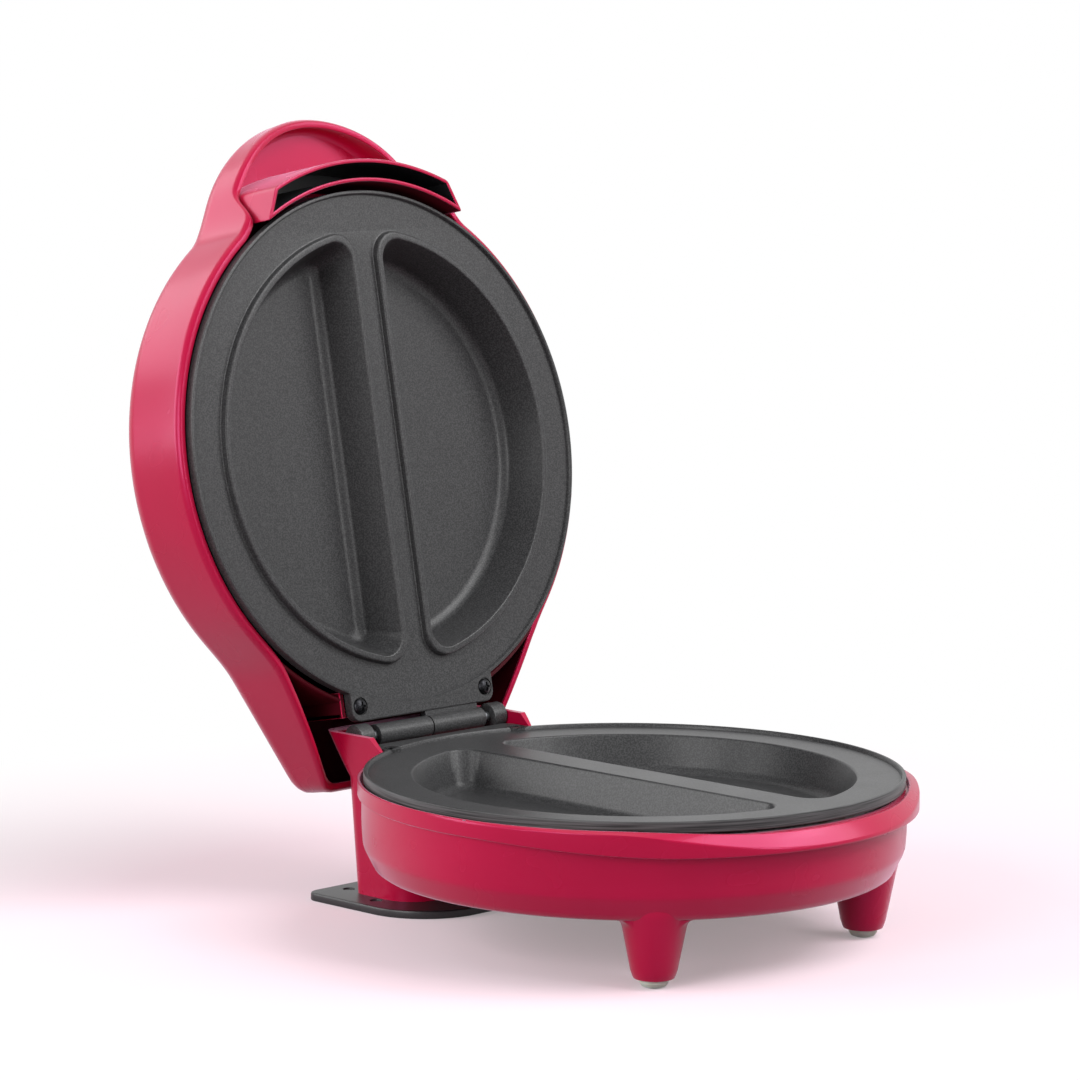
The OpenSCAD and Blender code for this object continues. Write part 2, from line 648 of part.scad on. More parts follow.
// Wall that closes the body of the lid from the skirt: round behind the plate, then under its lug
module partition() {
  top_z = upper_z + lid_h - wall + 0.5;
  low_z = lid_edge_z + 0.3;
  turn_x = lug_half + 0.7;
  both_sides() {
    translate([0, lug_wall_y, upper_z + flange_t]) cube([turn_x + rib_t, rib_t, top_z - upper_z - flange_t]);
    translate([turn_x, lug_wall_y - 7.5, low_z]) cube([rib_t, rib_t + 7.5, top_z - low_z]);
  }
  arc_r = lid_r - wall + 0.4;
  start = acos((turn_x + rib_t / 2) / arc_r);
  rear_arc = 18;
  both_sides() rotate([0, 0, start - rear_arc]) rotate_extrude(angle = rear_arc) polygon([
    [arc_r, low_z + 0.2], [arc_r + rib_t, low_z + 0.2], [arc_r + rib_t, top_z - 1.7], [arc_r, top_z - 0.2]
  ]);
}

module lid_housing() color(pink) open_lid() behind_plate() {
  ceiling = lid_top - wall;
  difference() {
    union() {
      lid_shell();
      channel();
      partition();
      at_posts() translate([0, 0, upper_reflector_z + reflector_t])
        cylinder(r = reflector_post_r, h = ceiling - upper_reflector_z - reflector_t + 0.5);
      both_sides() translate([plate_screw_x, plate_screw_y, upper_z + flange_t])
        cylinder(r = 3.4, h = lid_h - flange_t - 1);
      both_sides() translate([holder_x, lamp_y, holder_z + holder_t])
        cylinder(r = 2.6, h = ceiling - holder_z - holder_t + 0.5);
    }
    at_posts() translate([0, 0, upper_reflector_z - 1]) cylinder(r = screw_r + screw_gap, h = 8);
    both_sides() translate([plate_screw_x, plate_screw_y, upper_z]) cylinder(r = screw_r + screw_gap, h = 14);
    both_sides() translate([lens_x, lamp_y, ceiling - 3]) cylinder(r = lens_r + 0.1, h = 10);
  }
}

// Tubular heater: an open ring with two cold ends standing away from the plate at z = 0
module heater() {
  gap = 17;
  translate([0, 0, -heater_r]) {
    rotate([0, 0, 90 + gap]) rotate_extrude(angle = 360 - 2 * gap) translate([heater_ring_r, 0]) circle(r = heater_r);
    for (a = [87 - gap, 93 + gap]) translate(polar(heater_ring_r, a)) {
      translate([0, 0, -9]) cylinder(r = heater_r - 0.6, h = 9);
      translate([0, 0, -12]) cylinder(r = 1.2, h = 3.5);
    }
  }
}

module lower_heater() color(steel) behind_plate() translate([0, 0, heater_top]) heater();
module upper_heater() color(steel) open_lid() behind_plate()
  translate([0, 0, upper_z + flange_t + 0.2]) mirror([0, 0, 1]) heater();

// Reflector: a shallow sheet disc with a turned edge and three screw holes
module reflector() {
  difference() {
    union() {
      cylinder(r = reflector_r, h = reflector_t);
      difference() {
        cylinder(r = reflector_r + reflector_t, h = 3);
        translate([0, 0, -1]) cylinder(r = reflector_r, h = 5);
      }
    }
    at_posts() translate([0, 0, -1]) cylinder(r = screw_r + screw_gap, h = 4);
    translate([0, 0, -1]) cylinder(r = 2, h = 4);
  }
}

module lower_reflector() color(steel) behind_plate() translate([0, 0, reflector_z]) reflector();
module upper_reflector() color(steel) open_lid() behind_plate()
  translate([0, 0, upper_reflector_z + reflector_t]) mirror([0, 0, 1]) reflector();

module lower_reflector_screws() color(steel) behind_plate() at_posts()
  translate([0, 0, reflector_z + reflector_t]) screw(6.5);
module upper_reflector_screws() color(steel) open_lid() behind_plate() at_posts()
  translate([0, 0, upper_reflector_z]) mirror([0, 0, 1]) screw(6.5);

// Thermostat: a snap disc can pressed against the right pocket's underside
module thermostat() color(steel) behind_plate() translate([thermostat_x, 0, pocket_z]) {
  translate([0, 0, -4.4]) cylinder(r = 7, h = 4.4);
  difference() {
    translate([-3.5, -14, -0.8]) cube([7, 28, 0.8]);
    for (s = [-1, 1]) translate([0, thermostat_ear * s, -2]) cylinder(r = screw_r + screw_gap, h = 4);
  }
}
module thermostat_screws() color(steel) behind_plate() for (s = [-1, 1])
  translate([thermostat_x, thermostat_ear * s, pocket_z - 0.8]) mirror([0, 0, 1]) screw(2.4);

// Thermal fuse against the left pocket's underside, held by a strap
module thermal_fuse() color(steel) behind_plate()
  translate([-thermostat_x, -7, pocket_z - fuse_r]) rotate([-90, 0, 0]) cylinder(r = fuse_r, h = 14);

module fuse_clip() color(steel) behind_plate() translate([-thermostat_x, -3, 0]) {
  outer = fuse_r + 0.1 + 0.6;
  difference() {
    union() {
      translate([0, 0, pocket_z - fuse_r]) rotate([-90, 0, 0]) cylinder(r = outer, h = 6);
      translate([-outer, 0, pocket_z - fuse_r]) cube([2 * outer, 6, fuse_r]);
      translate([-outer - 3.5, 0, pocket_z - 0.6]) cube([2 * outer + 7, 6, 0.6]);
    }
    translate([0, -1, pocket_z - fuse_r]) rotate([-90, 0, 0]) cylinder(r = fuse_r + 0.1, h = 8);
    translate([-fuse_r - 0.1, -1, pocket_z - fuse_r]) cube([2 * fuse_r + 0.2, 8, fuse_r + 1]);
  }
}

// Terminal block on the floor of the bowl, with three pairs of wire holes
module terminal_block() color("#E8E4D8") behind_plate() translate([0, block_y, floor_z]) difference() {
  union() {
    translate([-11, -6, 0]) cube([22, 12, 7.5]);
    translate([-block_x - 4, -4, 0]) cube([2 * block_x + 8, 8, 2]);
  }
  for (x = [-7, 0, 7]) {
    translate([x, -7, 3.6]) rotate([-90, 0, 0]) cylinder(r = 1.6, h = 14);
    for (y = [-3.4, 3.4]) translate([x, y, 3.6]) cylinder(r = 1.1, h = 5);
  }
  both_sides() translate([block_x, 0, -1]) cylinder(r = screw_r + screw_gap, h = 4);
}
module terminal_block_screws() color(steel) behind_plate() both_sides()
  translate([block_x, block_y, floor_z + 2]) screw(3.2);

// Bush in the rear of the column where a cord would come out
module cord_bush() color(dark) translate([0, column_back + 1.7, cord_z]) rotate([90, 0, 0]) difference() {
  union() {
    cylinder(r = bush_r + 1.6, h = 1.2);
    cylinder(r = bush_r - 0.1, h = 5);
  }
  translate([0, 0, -1]) cylinder(r = cord_bore_r, h = 8);
}

// Clamp bar that would hold the cord against the column's two pillars
module cord_clamp() color(dark) translate([0, clamp_y, cord_z]) rotate([90, 0, 0]) difference() {
  union() {
    translate([-clamp_x - 4, -3.5, 0]) cube([2 * clamp_x + 8, 7, 3]);
    translate([-4, -3.5, -1.4]) cube([8, 7, 2]);
  }
  both_sides() translate([clamp_x, 0, -2]) cylinder(r = screw_r + screw_gap, h = 6);
}
module cord_clamp_screws() color(steel) both_sides()
  translate([clamp_x, clamp_y - 3, cord_z]) rotate([90, 0, 0]) screw(9);

// Indicator lens let into the lid's top, and the lamp and holder behind it
module lens() {
  translate([lens_x, lamp_y, lid_top - wall]) {
    cylinder(r = lens_r, h = wall + 0.4);
    translate([0, 0, -0.8]) cylinder(r = lens_r + 0.9, h = 0.8);
    translate([0, 0, wall + 0.4]) cylinder(r1 = lens_r, r2 = lens_r - 0.6, h = 0.4);
  }
}
module power_lens() color("#E0402C") open_lid() behind_plate() mirror([1, 0, 0]) lens();
module ready_lens() color("#4FAE50") open_lid() behind_plate() lens();

module lamp() translate([lens_x, lamp_y, holder_z - 1]) {
  cylinder(r = lamp_r, h = 5);
  translate([0, 0, 5]) sphere(r = lamp_r);
}
module power_lamp() color("#F0C8B0") open_lid() behind_plate() mirror([1, 0, 0]) lamp();
module ready_lamp() color("#C8E8C0") open_lid() behind_plate() lamp();

module lamp_holder() color("#E8E4D8") open_lid() behind_plate() difference() {
  translate([-holder_x - 3, lamp_y - 4, holder_z]) cube([2 * holder_x + 6, 8, holder_t]);
  both_sides() translate([lens_x, lamp_y, holder_z - 1]) cylinder(r = lamp_r + 0.1, h = 4);
}

base_housing();
left_foot_pad();
right_foot_pad();
stand_plate();
stand_plate_screws();
lower_plate();
lower_plate_screws();
lower_heater();
lower_reflector();
lower_reflector_screws();
thermostat();
thermostat_screws();
thermal_fuse();
fuse_clip();
terminal_block();
terminal_block_screws();
cord_bush();
cord_clamp();
cord_clamp_screws();
hinge_pin();
lid_housing();
upper_plate();
upper_plate_screws();
upper_heater();
upper_reflector();
upper_reflector_screws();
power_lens();
ready_lens();
power_lamp();
ready_lamp();
lamp_holder();
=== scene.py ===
# Electric omelette maker: materials, fine meshes, soft studio light and the camera
import math

import bpy
import bmesh
from mathutils import Matrix, Vector
from mathutils.geometry import tessellate_polygon


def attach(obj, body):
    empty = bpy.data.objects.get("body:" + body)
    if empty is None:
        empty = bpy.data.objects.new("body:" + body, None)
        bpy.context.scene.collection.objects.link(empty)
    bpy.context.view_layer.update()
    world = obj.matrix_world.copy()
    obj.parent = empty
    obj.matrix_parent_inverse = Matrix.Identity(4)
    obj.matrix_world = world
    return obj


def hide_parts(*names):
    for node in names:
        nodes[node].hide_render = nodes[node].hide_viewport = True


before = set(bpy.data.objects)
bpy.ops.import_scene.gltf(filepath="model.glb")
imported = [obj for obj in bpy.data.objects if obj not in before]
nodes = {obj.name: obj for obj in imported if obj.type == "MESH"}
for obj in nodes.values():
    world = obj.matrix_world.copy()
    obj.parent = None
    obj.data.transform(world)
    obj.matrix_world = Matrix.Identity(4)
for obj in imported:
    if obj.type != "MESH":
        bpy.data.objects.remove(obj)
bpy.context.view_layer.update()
mm = 0.001
print("frame loaded:", len(nodes), "nodes")


def linearColour(hexText):
    # sRGB hex to linear RGBA
    channels = [int(hexText[i:i + 2], 16) / 255 for i in (1, 3, 5)]
    return [c / 12.92 if c <= 0.04045 else ((c + 0.055) / 1.055) ** 2.4 for c in channels] + [1.0]


def addNode(tree, kind, settings=None, links=None):
    # one node with its settings, its fixed inputs and the sockets linked into it
    made = tree.nodes.new(kind)
    for name, value in (settings or {}).items():
        if isinstance(name, str) and hasattr(made, name):
            setattr(made, name, value)
        else:
            made.inputs[name].default_value = value
    for name, source in (links or {}).items():
        tree.links.new(source, made.inputs[name])
    return made


def makeFinish(name, settings, tones, noises, span=(0.35, 0.65), roughness=None, relief=None,
               stretch=None):
    # Patterns lie in the object's own coordinates. Each noise is a size in metres and its detail: the first drives
    # the tone, the second the roughness and the last the relief. A single one drives all three.
    material = bpy.data.materials.new(name)
    material.use_nodes = True
    tree = material.node_tree
    tree.nodes.clear()
    shader = addNode(tree, "ShaderNodeBsdfPrincipled", settings)
    addNode(tree, "ShaderNodeOutputMaterial", links={"Surface": shader.outputs["BSDF"]})
    coords = addNode(tree, "ShaderNodeTexCoord").outputs["Object"]
    if stretch:
        coords = addNode(tree, "ShaderNodeMapping", {"Scale": stretch}, {"Vector": coords}).outputs["Vector"]
    drivers = []
    for size, detail in noises:
        noise = addNode(tree, "ShaderNodeTexNoise", {"Scale": 1 / size, "Detail": detail}, {"Vector": coords})
        drivers.append(noise.outputs["Fac"])
    ramp = addNode(tree, "ShaderNodeValToRGB", links={"Fac": drivers[0]})
    for element, position, tone in zip(ramp.color_ramp.elements, span, tones):
        element.position, element.color = position, linearColour(tone)
    tree.links.new(ramp.outputs["Color"], shader.inputs["Base Color"])
    if roughness:
        limits = {"To Min": roughness[0], "To Max": roughness[1]}
        spread = addNode(tree, "ShaderNodeMapRange", limits, {"Value": drivers[:2][-1]})
        tree.links.new(spread.outputs["Result"], shader.inputs["Roughness"])
    if relief:
        depth, strength = relief
        sizes = {"Distance": depth, "Strength": strength}
        bump = addNode(tree, "ShaderNodeBump", sizes, {"Height": drivers[-1]})
        tree.links.new(bump.outputs["Normal"], shader.inputs["Normal"])
    return material


# Raspberry ABS, injection moulded in a polished tool: even colour, satin gloss, pink bloom, a 14 mm ripple
pink = makeFinish("glossyPinkAbs", {
    "IOR": 1.53, "Specular IOR Level": 0.5, "Specular Tint": linearColour("#FF8CCB"),
    "Coat Weight": 0.03, "Coat Roughness": 0.06,
    "Sheen Weight": 0.5, "Sheen Roughness": 0.34, "Sheen Tint": linearColour("#F6C6E6"),
}, ("#A80430", "#B10636"), [(60 * mm, 3), (14 * mm, 1)], roughness=(0.23, 0.3), relief=(0.02 * mm, 0.12))
# The same ABS inside the shell with painted shade: dark red where its hollows, ribs and channel wall lie in shade,
# and dull
paintedShadePink = makeFinish("paintedShadePinkInside", {"IOR": 1.53, "Specular IOR Level": 0.12, "Roughness": 0.6},
                        ("#3E020E", "#4A0312"), [(20 * mm, 3)], relief=(0.03 * mm, 0.2))
# PTFE coat sprayed on cast aluminium: charcoal with specks of 0.55 mm, a soft sheen in clouds of 18 mm and an
# orange peel of 1.6 mm
ptfe = {"IOR": 1.4, "Specular IOR Level": 0.42}
coat = makeFinish("nonStickCoat", ptfe, ("#2B2B2C", "#444445"), [(0.55 * mm, 2), (18 * mm, 2), (1.6 * mm, 3)],
                  (0.42, 0.62), (0.33, 0.4), (0.06 * mm, 0.35))
# The same coat on the turned edge of the plate: the cutter's rings show as level streaks, 25 mm by 0.4 mm
streaks = (1 / (25 * mm), 1 / (25 * mm), 1 / (0.4 * mm))
edgeCoat = makeFinish("turnedEdge", ptfe, ("#1D1D1E", "#565657"), [(1, 2)], (0.35, 0.68), (0.32, 0.5),
                      (0.05 * mm, 0.4), streaks)
# Black PP, moulded with a spark-eroded grain of 0.4 mm
blackPp = makeFinish("grainedBlackPp", {"IOR": 1.49}, ("#141416", "#1E1E21"), [(0.4 * mm, 3)],
                     roughness=(0.34, 0.44), relief=(0.04 * mm, 0.3))
# Pale silicone rubber, matt with a dusty bloom in 3 mm patches
rubber = {"IOR": 1.41, "Subsurface Weight": 0.15, "Subsurface Scale": 1.0 * mm}
silicone = makeFinish("paleSilicone", rubber, ("#C3CCBE", "#D3DACE"), [(3 * mm, 3)],
                      roughness=(0.5, 0.62), relief=(0.03 * mm, 0.2))
# Off-white phenolic moulding, dull
moulding = makeFinish("paleMoulding", {"IOR": 1.5}, ("#DEDACC", "#ECE8DC"), [(2 * mm, 3)],
                      roughness=(0.45, 0.6))
# Zinc plate on steel: blue-grey spangle of about 1 mm. Black oxide on steel: dark, a little oily, tool marks
# of 0.6 mm. Annealed steel sheath of a heater: straw and blue patches from its own heat. Bright rolled
# aluminium sheet: a cloudy gloss
shallow = (0.01 * mm, 0.25)
zinc, oxide, sheath, sheet = (
    makeFinish(name, {"Metallic": 1.0}, tones, [(size * mm, 3)], roughness=roughness, relief=shallow)
    for name, tones, size, roughness in (
        ("zincPlatedSteel", ("#9A9DA2", "#B9BCC0"), 1.2, (0.28, 0.4)),
        ("blackOxideSteel", ("#1B1B1D", "#323235"), 0.6, (0.3, 0.42)),
        ("annealedSheath", ("#6E665C", "#8E8F95"), 6, (0.35, 0.5)),
        ("brightSheet", ("#C4C6C9", "#D6D8DA"), 9, (0.18, 0.3))))
# Tinted polycarbonate: clear gloss over a deep colour
lens = {"IOR": 1.58, "Roughness": 0.12, "Transmission Weight": 0.35}
redLens, greenLens, lampGlass = (
    makeFinish(name, lens, tones, [(4 * mm, 3)]) for name, tones in (
        ("redLens", ("#A82018", "#C8392B")), ("greenLens", ("#2E7F38", "#3F9E48")),
        ("lampGlass", ("#E8C8B4", "#F4DCCC"))))
print("materials made")

# Every node's own finish; screws, clips and the other small metal parts are zinc plated
finishes = {
    "base_housing": pink, "lid_housing": pink, "lower_plate": coat, "upper_plate": coat,
    "stand_plate": blackPp, "cord_bush": blackPp, "cord_clamp": blackPp,
    "left_foot_pad": silicone, "right_foot_pad": silicone,
    "lower_plate_screws": oxide, "upper_plate_screws": oxide,
    "lower_heater": sheath, "upper_heater": sheath, "lower_reflector": sheet, "upper_reflector": sheet,
    "terminal_block": moulding, "lamp_holder": moulding, "power_lens": redLens, "ready_lens": greenLens,
    "power_lamp": lampGlass, "ready_lamp": lampGlass,
}
for name, obj in nodes.items():
    obj.data.materials.clear()
    obj.data.materials.append(finishes.get(name, zinc))

# Sizes in millimetres, the same as in the source of the solids. Pieces are drawn around the plates' centre,
# which lies hinge["reach"] in front of the hinge's axis. The lid's pieces are drawn shut, then turned open.
hinge = {"reach": 104.0, "height": 60.75, "open": math.radians(100.9)}
fromAxis, toAxis = (Matrix.Translation((0, 0, z)) for z in (hinge["height"], -hinge["height"]))
openTurn = fromAxis @ Matrix.Rotation(-hinge["open"], 4, "X") @ toAxis
plateShift = Matrix.Translation((0, -hinge["reach"], 0))


def blendMax(a, b, k):
    # the larger of two values, their meeting rounded over k
    return max(a, b) + (max(k - abs(a - b), 0) / k) ** 2 * k / 4


def blendMin(a, b, k):
    # the smaller of two values, their meeting rounded over k
    return min(a, b) - (max(k - abs(a - b), 0) / k) ** 2 * k / 4


def ease(x, a, b):
    # 0 at a, 1 at b, level at both ends
    t = max(0.0, min(1.0, (x - a) / (b - a)))
    return t * t * (3 - 2 * t)


def arc(centreX, centreY, radius, start, end, steps):
    # points of an arc in degrees, both ends included
    angles = [math.radians(start + (end - start) * i / steps) for i in range(steps + 1)]
    return [(centreX + radius * math.cos(a), centreY + radius * math.sin(a)) for a in angles]


def fullCircle(centreX, centreY, radius, steps):
    return arc(centreX, centreY, radius, 0, 360, steps)[:-1]


def fromFront(radius, angle):
    # point of the plan at an angle in radians, counted from the front towards the right
    return radius * math.sin(angle), -radius * math.cos(angle)


def roundedPlan(half, back, front, rear, nose, noseSteps):
    # plan with a radius of its own for the rear corners and for the front ones
    plan = arc(half - rear, back - rear, rear, 0, 90, 12) + arc(-half + rear, back - rear, rear, 90, 180, 12)
    plan += arc(-half + nose, -front + nose, nose, 180, 270, noseSteps)
    return plan + arc(half - nose, -front + nose, nose, 270, 360, noseSteps)


def raised(outline, heights):
    # the same outline at several heights
    return [[(x, y, z) for x, y in outline] for z in heights]


def planRings(plan, levels, *given):
    # outlines at several heights, each drawn in by its inset
    return [[(x, y, z) for x, y in plan(inset, *given)] for inset, z in levels]


def sectionRings(sections, angles, lift=0.0):
    # sections that stand at their angles from the front: the same point of each makes one ring
    return [[(*fromFront(r, a), lift + z) for (r, z), a in zip(points, angles)] for points in zip(*sections)]


def addLoft(bm, rings, slot=0, capStart=False, capEnd=False):
    # quads between closed rings of equal length, with optional caps
    made = [[bm.verts.new(p) for p in ring] for ring in rings]
    n = len(made[0])
    faces = []
    for low, high in zip(made, made[1:]):
        for i in range(n):
            j = (i + 1) % n
            faces.append(bm.faces.new((low[i], low[j], high[j], high[i])))
    if capStart:
        faces.append(bm.faces.new(list(reversed(made[0]))))
    if capEnd:
        faces.append(bm.faces.new(made[-1]))
    for face in faces:
        face.material_index = slot
        face.smooth = True
    return made


def addRod(bm, radius, x0, x1, z, edge=0.35, steps=64):
    # round bar along X with softened ends, solid
    turns = [2 * math.pi * i / steps for i in range(steps)]
    soft = edge * 0.3
    levels = [(x0, radius - edge), (x0 + soft, radius - soft), (x0 + edge, radius),
              (x1 - edge, radius), (x1 - soft, radius - soft), (x1, radius - edge)]
    rings = [[(x, r * math.cos(a), z + r * math.sin(a)) for a in turns] for x, r in levels]
    addLoft(bm, rings, 0, True, True)


def addBlock(bm, low, high, slot=0, edge=0.4):
    # box with softened edges
    made = bmesh.ops.create_cube(bm, size=1.0)
    size = [h - l for l, h in zip(low, high)]
    for v in made["verts"]:
        v.co = Vector([l + (c + 0.5) * s for l, c, s in zip(low, v.co, size)])
    for face in {f for v in made["verts"] for f in v.link_faces}:
        face.material_index = slot
    edges = list(dict.fromkeys(e for v in made["verts"] for e in v.link_edges))
    bmesh.ops.bevel(bm, geom=edges, offset=edge, segments=2, profile=0.5, affect="EDGES")


def handOver(piece, body, replaced):
    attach(piece, body)
    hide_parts(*replaced)


def linkedObject(name, data):
    made = bpy.data.objects.new(name, data)
    bpy.context.collection.objects.link(made)
    return made


def finishPiece(bm, name, materials, body, replaced, matrix=Matrix(), sharp=40):
    # welds, turns outward, moves into place, scales to metres and hands the piece to its body
    bmesh.ops.remove_doubles(bm, verts=bm.verts, dist=0.001)
    bmesh.ops.recalc_face_normals(bm, faces=bm.faces)
    bm.transform(Matrix.Scale(mm, 4) @ matrix)
    mesh = bpy.data.meshes.new(name)
    bm.to_mesh(mesh)
    bm.free()
    for material in materials:
        mesh.materials.append(material)
    mesh.shade_smooth()
    mesh.set_sharp_from_angle(angle=math.radians(sharp))
    piece = linkedObject(name, mesh)
    weighted = piece.modifiers.new("weighted", "WEIGHTED_NORMAL")
    weighted.keep_sharp = True
    weighted.weight = 80
    handOver(piece, body, replaced)


# The shell's sections turn from edge to hollow at ring hollowRing, and the hollow behind the given Y has painted
# shade
lid = {
    "plateZ": 60.6, "radius": 98.5, "height": 36.0, "edge": 3.0, "round": 8.0, "wall": 2.4, "draft": 0.012,
    "tongueRadius": 52.0, "tongueY": 72.6, "flankEdge": 16.0, "tongueEdge": 21.0, "flankAngles": (31, 24),
    "dish": 27.0, "dishAngles": (30, 26.5), "steps": 360,
    "skirtBack": 122.5, "skirtSide": 107.3, "skirtSlope": 0.555, "skirtAngle": 75,
    "riseFrom": 75.0, "riseSlope": 0.13, "riseCurve": 0.0027,
    "channelOut": 106.0, "channelIn": 97.6, "channelWall": 1.5, "channelProud": 4.0, "channelAngle": 24.2,
    "channelEnd": 0.45, "channelCorner": 1.6, "paintedShadeSheet": 0.8,
    "lugWallY": 94.5, "rib": 1.8, "ribFrom": 87.0, "ribArc": 18.0, "ribSteps": 40, "turnX": 36.7,
    "hollowRing": 25, "paintedShadeFrom": -60.0,
}


def lidRadius(a):
    # the lid's plan at an angle from the front: the shell's circle with the handle tongue and the rear skirt
    s = lid
    reach = s["tongueRadius"] ** 2 - (s["tongueY"] * math.sin(a)) ** 2
    tongue = s["tongueY"] * math.cos(a) + math.sqrt(max(0.0, reach)) if math.cos(a) > 0 else 0.0
    back = math.pi - a
    skirt = 0.0
    if back < math.radians(s["skirtAngle"]):
        side = s["skirtSide"] / (math.sin(back) + s["skirtSlope"] * math.cos(back))
        skirt = blendMin(side, s["skirtBack"] / math.cos(back), 5)
    return blendMax(blendMax(s["radius"], tongue, 9), skirt, 3)


def lidEdge(a):
    # height of the free edge over the plate: it rises under the tongue and towards the skirt's back
    s = lid
    back = max(0.0, -lidRadius(a) * math.cos(a) - s["riseFrom"])
    degrees = math.degrees(a)
    return (s["edge"] + s["riseSlope"] * back + s["riseCurve"] * back * back
            + ease(degrees, *s["flankAngles"]) * (s["flankEdge"] - s["edge"])
            + ease(degrees, s["flankAngles"][1], 0) * (s["tongueEdge"] - s["flankEdge"]))


def lidSection(a):
    # from the middle of the top over the outside, round the free edge and back along the inside
    s = lid
    r, e = lidRadius(a), lidEdge(a)
    h, k, wall = s["height"], s["round"], s["wall"]
    ceiling = h - wall - ease(math.degrees(a), *s["dishAngles"]) * (h - wall - s["dish"])
    inner = r - wall
    ki = min(k - wall, 0.45 * (ceiling - e))
    draft = s["draft"] * (h - k - e)
    low = min(inner - ki, s["channelIn"] + s["channelWall"] / 2)
    points = [(0.0, h), (r * 0.4, h), (r - k - 12, h), (r - k - 4, h)]
    points += arc(r - k, h - k, k, 90, 0, 12)
    points += [(r + draft / 2, (h - k + e) / 2 + 1), (r + 0.4, e + 2.6), (r + 0.15, e + 1.6),
               (r - 0.25, e + 0.7), (r - 0.7, e + 0.2), (r - 1.1, e),
               (inner - 0.1, e), (inner - 0.4, e + 0.2), (inner - 0.5, e + 0.6),
               (inner, e + 1.6), (inner, (ceiling - ki + e) / 2 + 1)]
    points += arc(inner - ki, ceiling - ki, ki, 0, 90, 7)
    points += [(low, ceiling), (low - 2, ceiling), (low - 3.8, h - wall)]
    return points + [(r * 0.4, h - wall), (0.0, h - wall)]


def channelPlan(inset, steps=60):
    # closed outline of the arc channel, drawn in by inset: outer arc, rounded end, inner arc, rounded end
    s = lid
    outer, inner = s["channelOut"] - inset, s["channelIn"] + inset
    slant = math.radians(s["channelAngle"])
    endX, endY = s["channelOut"] * math.sin(slant) - 1.1 * inset, s["channelOut"] * math.cos(slant)

    def endAngle(radius):
        # where a circle meets the slanted line that ends the channel
        a = math.radians(25)
        for _ in range(30):
            a = math.asin((endX + s["channelEnd"] * (endY - radius * math.cos(a))) / radius)
        return a

    outerEnd, innerEnd = endAngle(outer), endAngle(inner)
    trim = max(0.15, s["channelCorner"] - inset)
    outerSpan, innerSpan = outerEnd - trim / outer, innerEnd - trim / inner
    tipOut, tipIn = Vector(fromFront(outer, outerEnd)), Vector(fromFront(inner, innerEnd))
    along = (tipIn - tipOut).normalized() * trim
    shape = [fromFront(outer, -outerSpan + 2 * outerSpan * i / steps) for i in range(steps + 1)]
    corners = [(Vector(shape[-1]), tipOut, tipOut + along),
               (tipIn - along, tipIn, Vector(fromFront(inner, innerSpan)))]
    for (start, tip, end), shares in zip(corners, ((0.2, 0.4, 0.6, 0.8, 1.0), (0.0, 0.2, 0.4, 0.6, 0.8))):
        shape += [tuple((1 - t) ** 2 * start + 2 * t * (1 - t) * tip + t * t * end) for t in shares]
    shape += [fromFront(inner, innerSpan - 2 * innerSpan * i / steps) for i in range(steps + 1)]
    return shape + [(-x, y) for x, y in reversed(shape[steps + 1:steps + 11])]


def makeLid():
    # slots of the shell: 0 the polished outside, 1 black, 2 the inside with painted shade
    s = lid
    bm = bmesh.new()
    angles = [2 * math.pi * i / s["steps"] for i in range(s["steps"])]
    rings = sectionRings([lidSection(min(a, 2 * math.pi - a))[1:-1] for a in angles], angles, s["plateZ"])
    addLoft(bm, rings[:s["hollowRing"] + 1], 0, True)
    hollow = addLoft(bm, rings[s["hollowRing"]:], 0, False, True)
    # the hollow's faces behind that Y take the painted shade
    deep = [v for ring in hollow[1:] for v in ring if v.co.y > s["paintedShadeFrom"]]
    for face in {f for v in deep for f in v.link_faces}:
        face.material_index = 2

    # the channel's walls, its black inside, and a black sheet on the shell behind it: painted shade in the open
    # channel
    root = s["plateZ"] + s["height"] - s["wall"] + 0.3
    out = s["plateZ"] - s["channelProud"]
    levels = [(0.0, root), (0.0, out + 0.5), (0.15, out + 0.15), (0.5, out), (1.0, out), (1.35, out + 0.15)]
    addLoft(bm, planRings(channelPlan, levels), 0)
    # the channel's inner arc wall, facing the plate, takes the painted shade
    for face in bm.faces:
        if all(abs(v.co.xy.length - s["channelIn"]) < 0.02 for v in face.verts):
            face.material_index = 2
    levels = [(1.35, out + 0.15), (s["channelWall"], out + 0.6), (s["channelWall"], root)]
    addLoft(bm, planRings(channelPlan, levels), 1)
    addLoft(bm, planRings(channelPlan, [(0.0, root), (s["channelWall"], root)]), 0)
    ground = s["plateZ"] + s["dish"]
    heights = (ground - s["paintedShadeSheet"] / 2, ground + s["paintedShadeSheet"] / 2)
    addLoft(bm, raised(channelPlan(s["channelWall"] - 0.3), heights), 1, True, True)

    # ribs beside the hinge, in painted shade, and the partition between them
    low, half = s["plateZ"] + s["edge"] + 0.3, s["rib"] / 2
    ribRadius = s["radius"] - s["wall"] + 0.4
    reach, back = s["turnX"] + s["rib"], s["lugWallY"] + s["rib"]
    start = math.degrees(math.acos((s["turnX"] + half) / ribRadius))
    sweep = [math.radians(start - s["ribArc"] * i / s["ribSteps"]) for i in range(s["ribSteps"] + 1)]
    section = [(ribRadius + half + x, low + half + z) for x, z in arc(0, 0, half, 180, 360, 8)]
    section += [(ribRadius + s["rib"], root - 2.2), (ribRadius, root - 0.6)]
    for side in (-1, 1):
        xs = sorted((side * s["turnX"], side * reach))
        addBlock(bm, (xs[0], s["ribFrom"], low), (xs[1], back, root), 2, 0.3)
        rings = [[(side * r * math.cos(a), r * math.sin(a), z) for r, z in section] for a in sweep]
        addLoft(bm, rings, 2, True, True)
    addBlock(bm, (-reach, s["lugWallY"], s["plateZ"] + 4), (reach, back, root), 1, 0.3)
    finishPiece(bm, "lidShell", [pink, blackPp, paintedShadePink], "lid", ["lid_housing"],
                openTurn @ plateShift, 35)


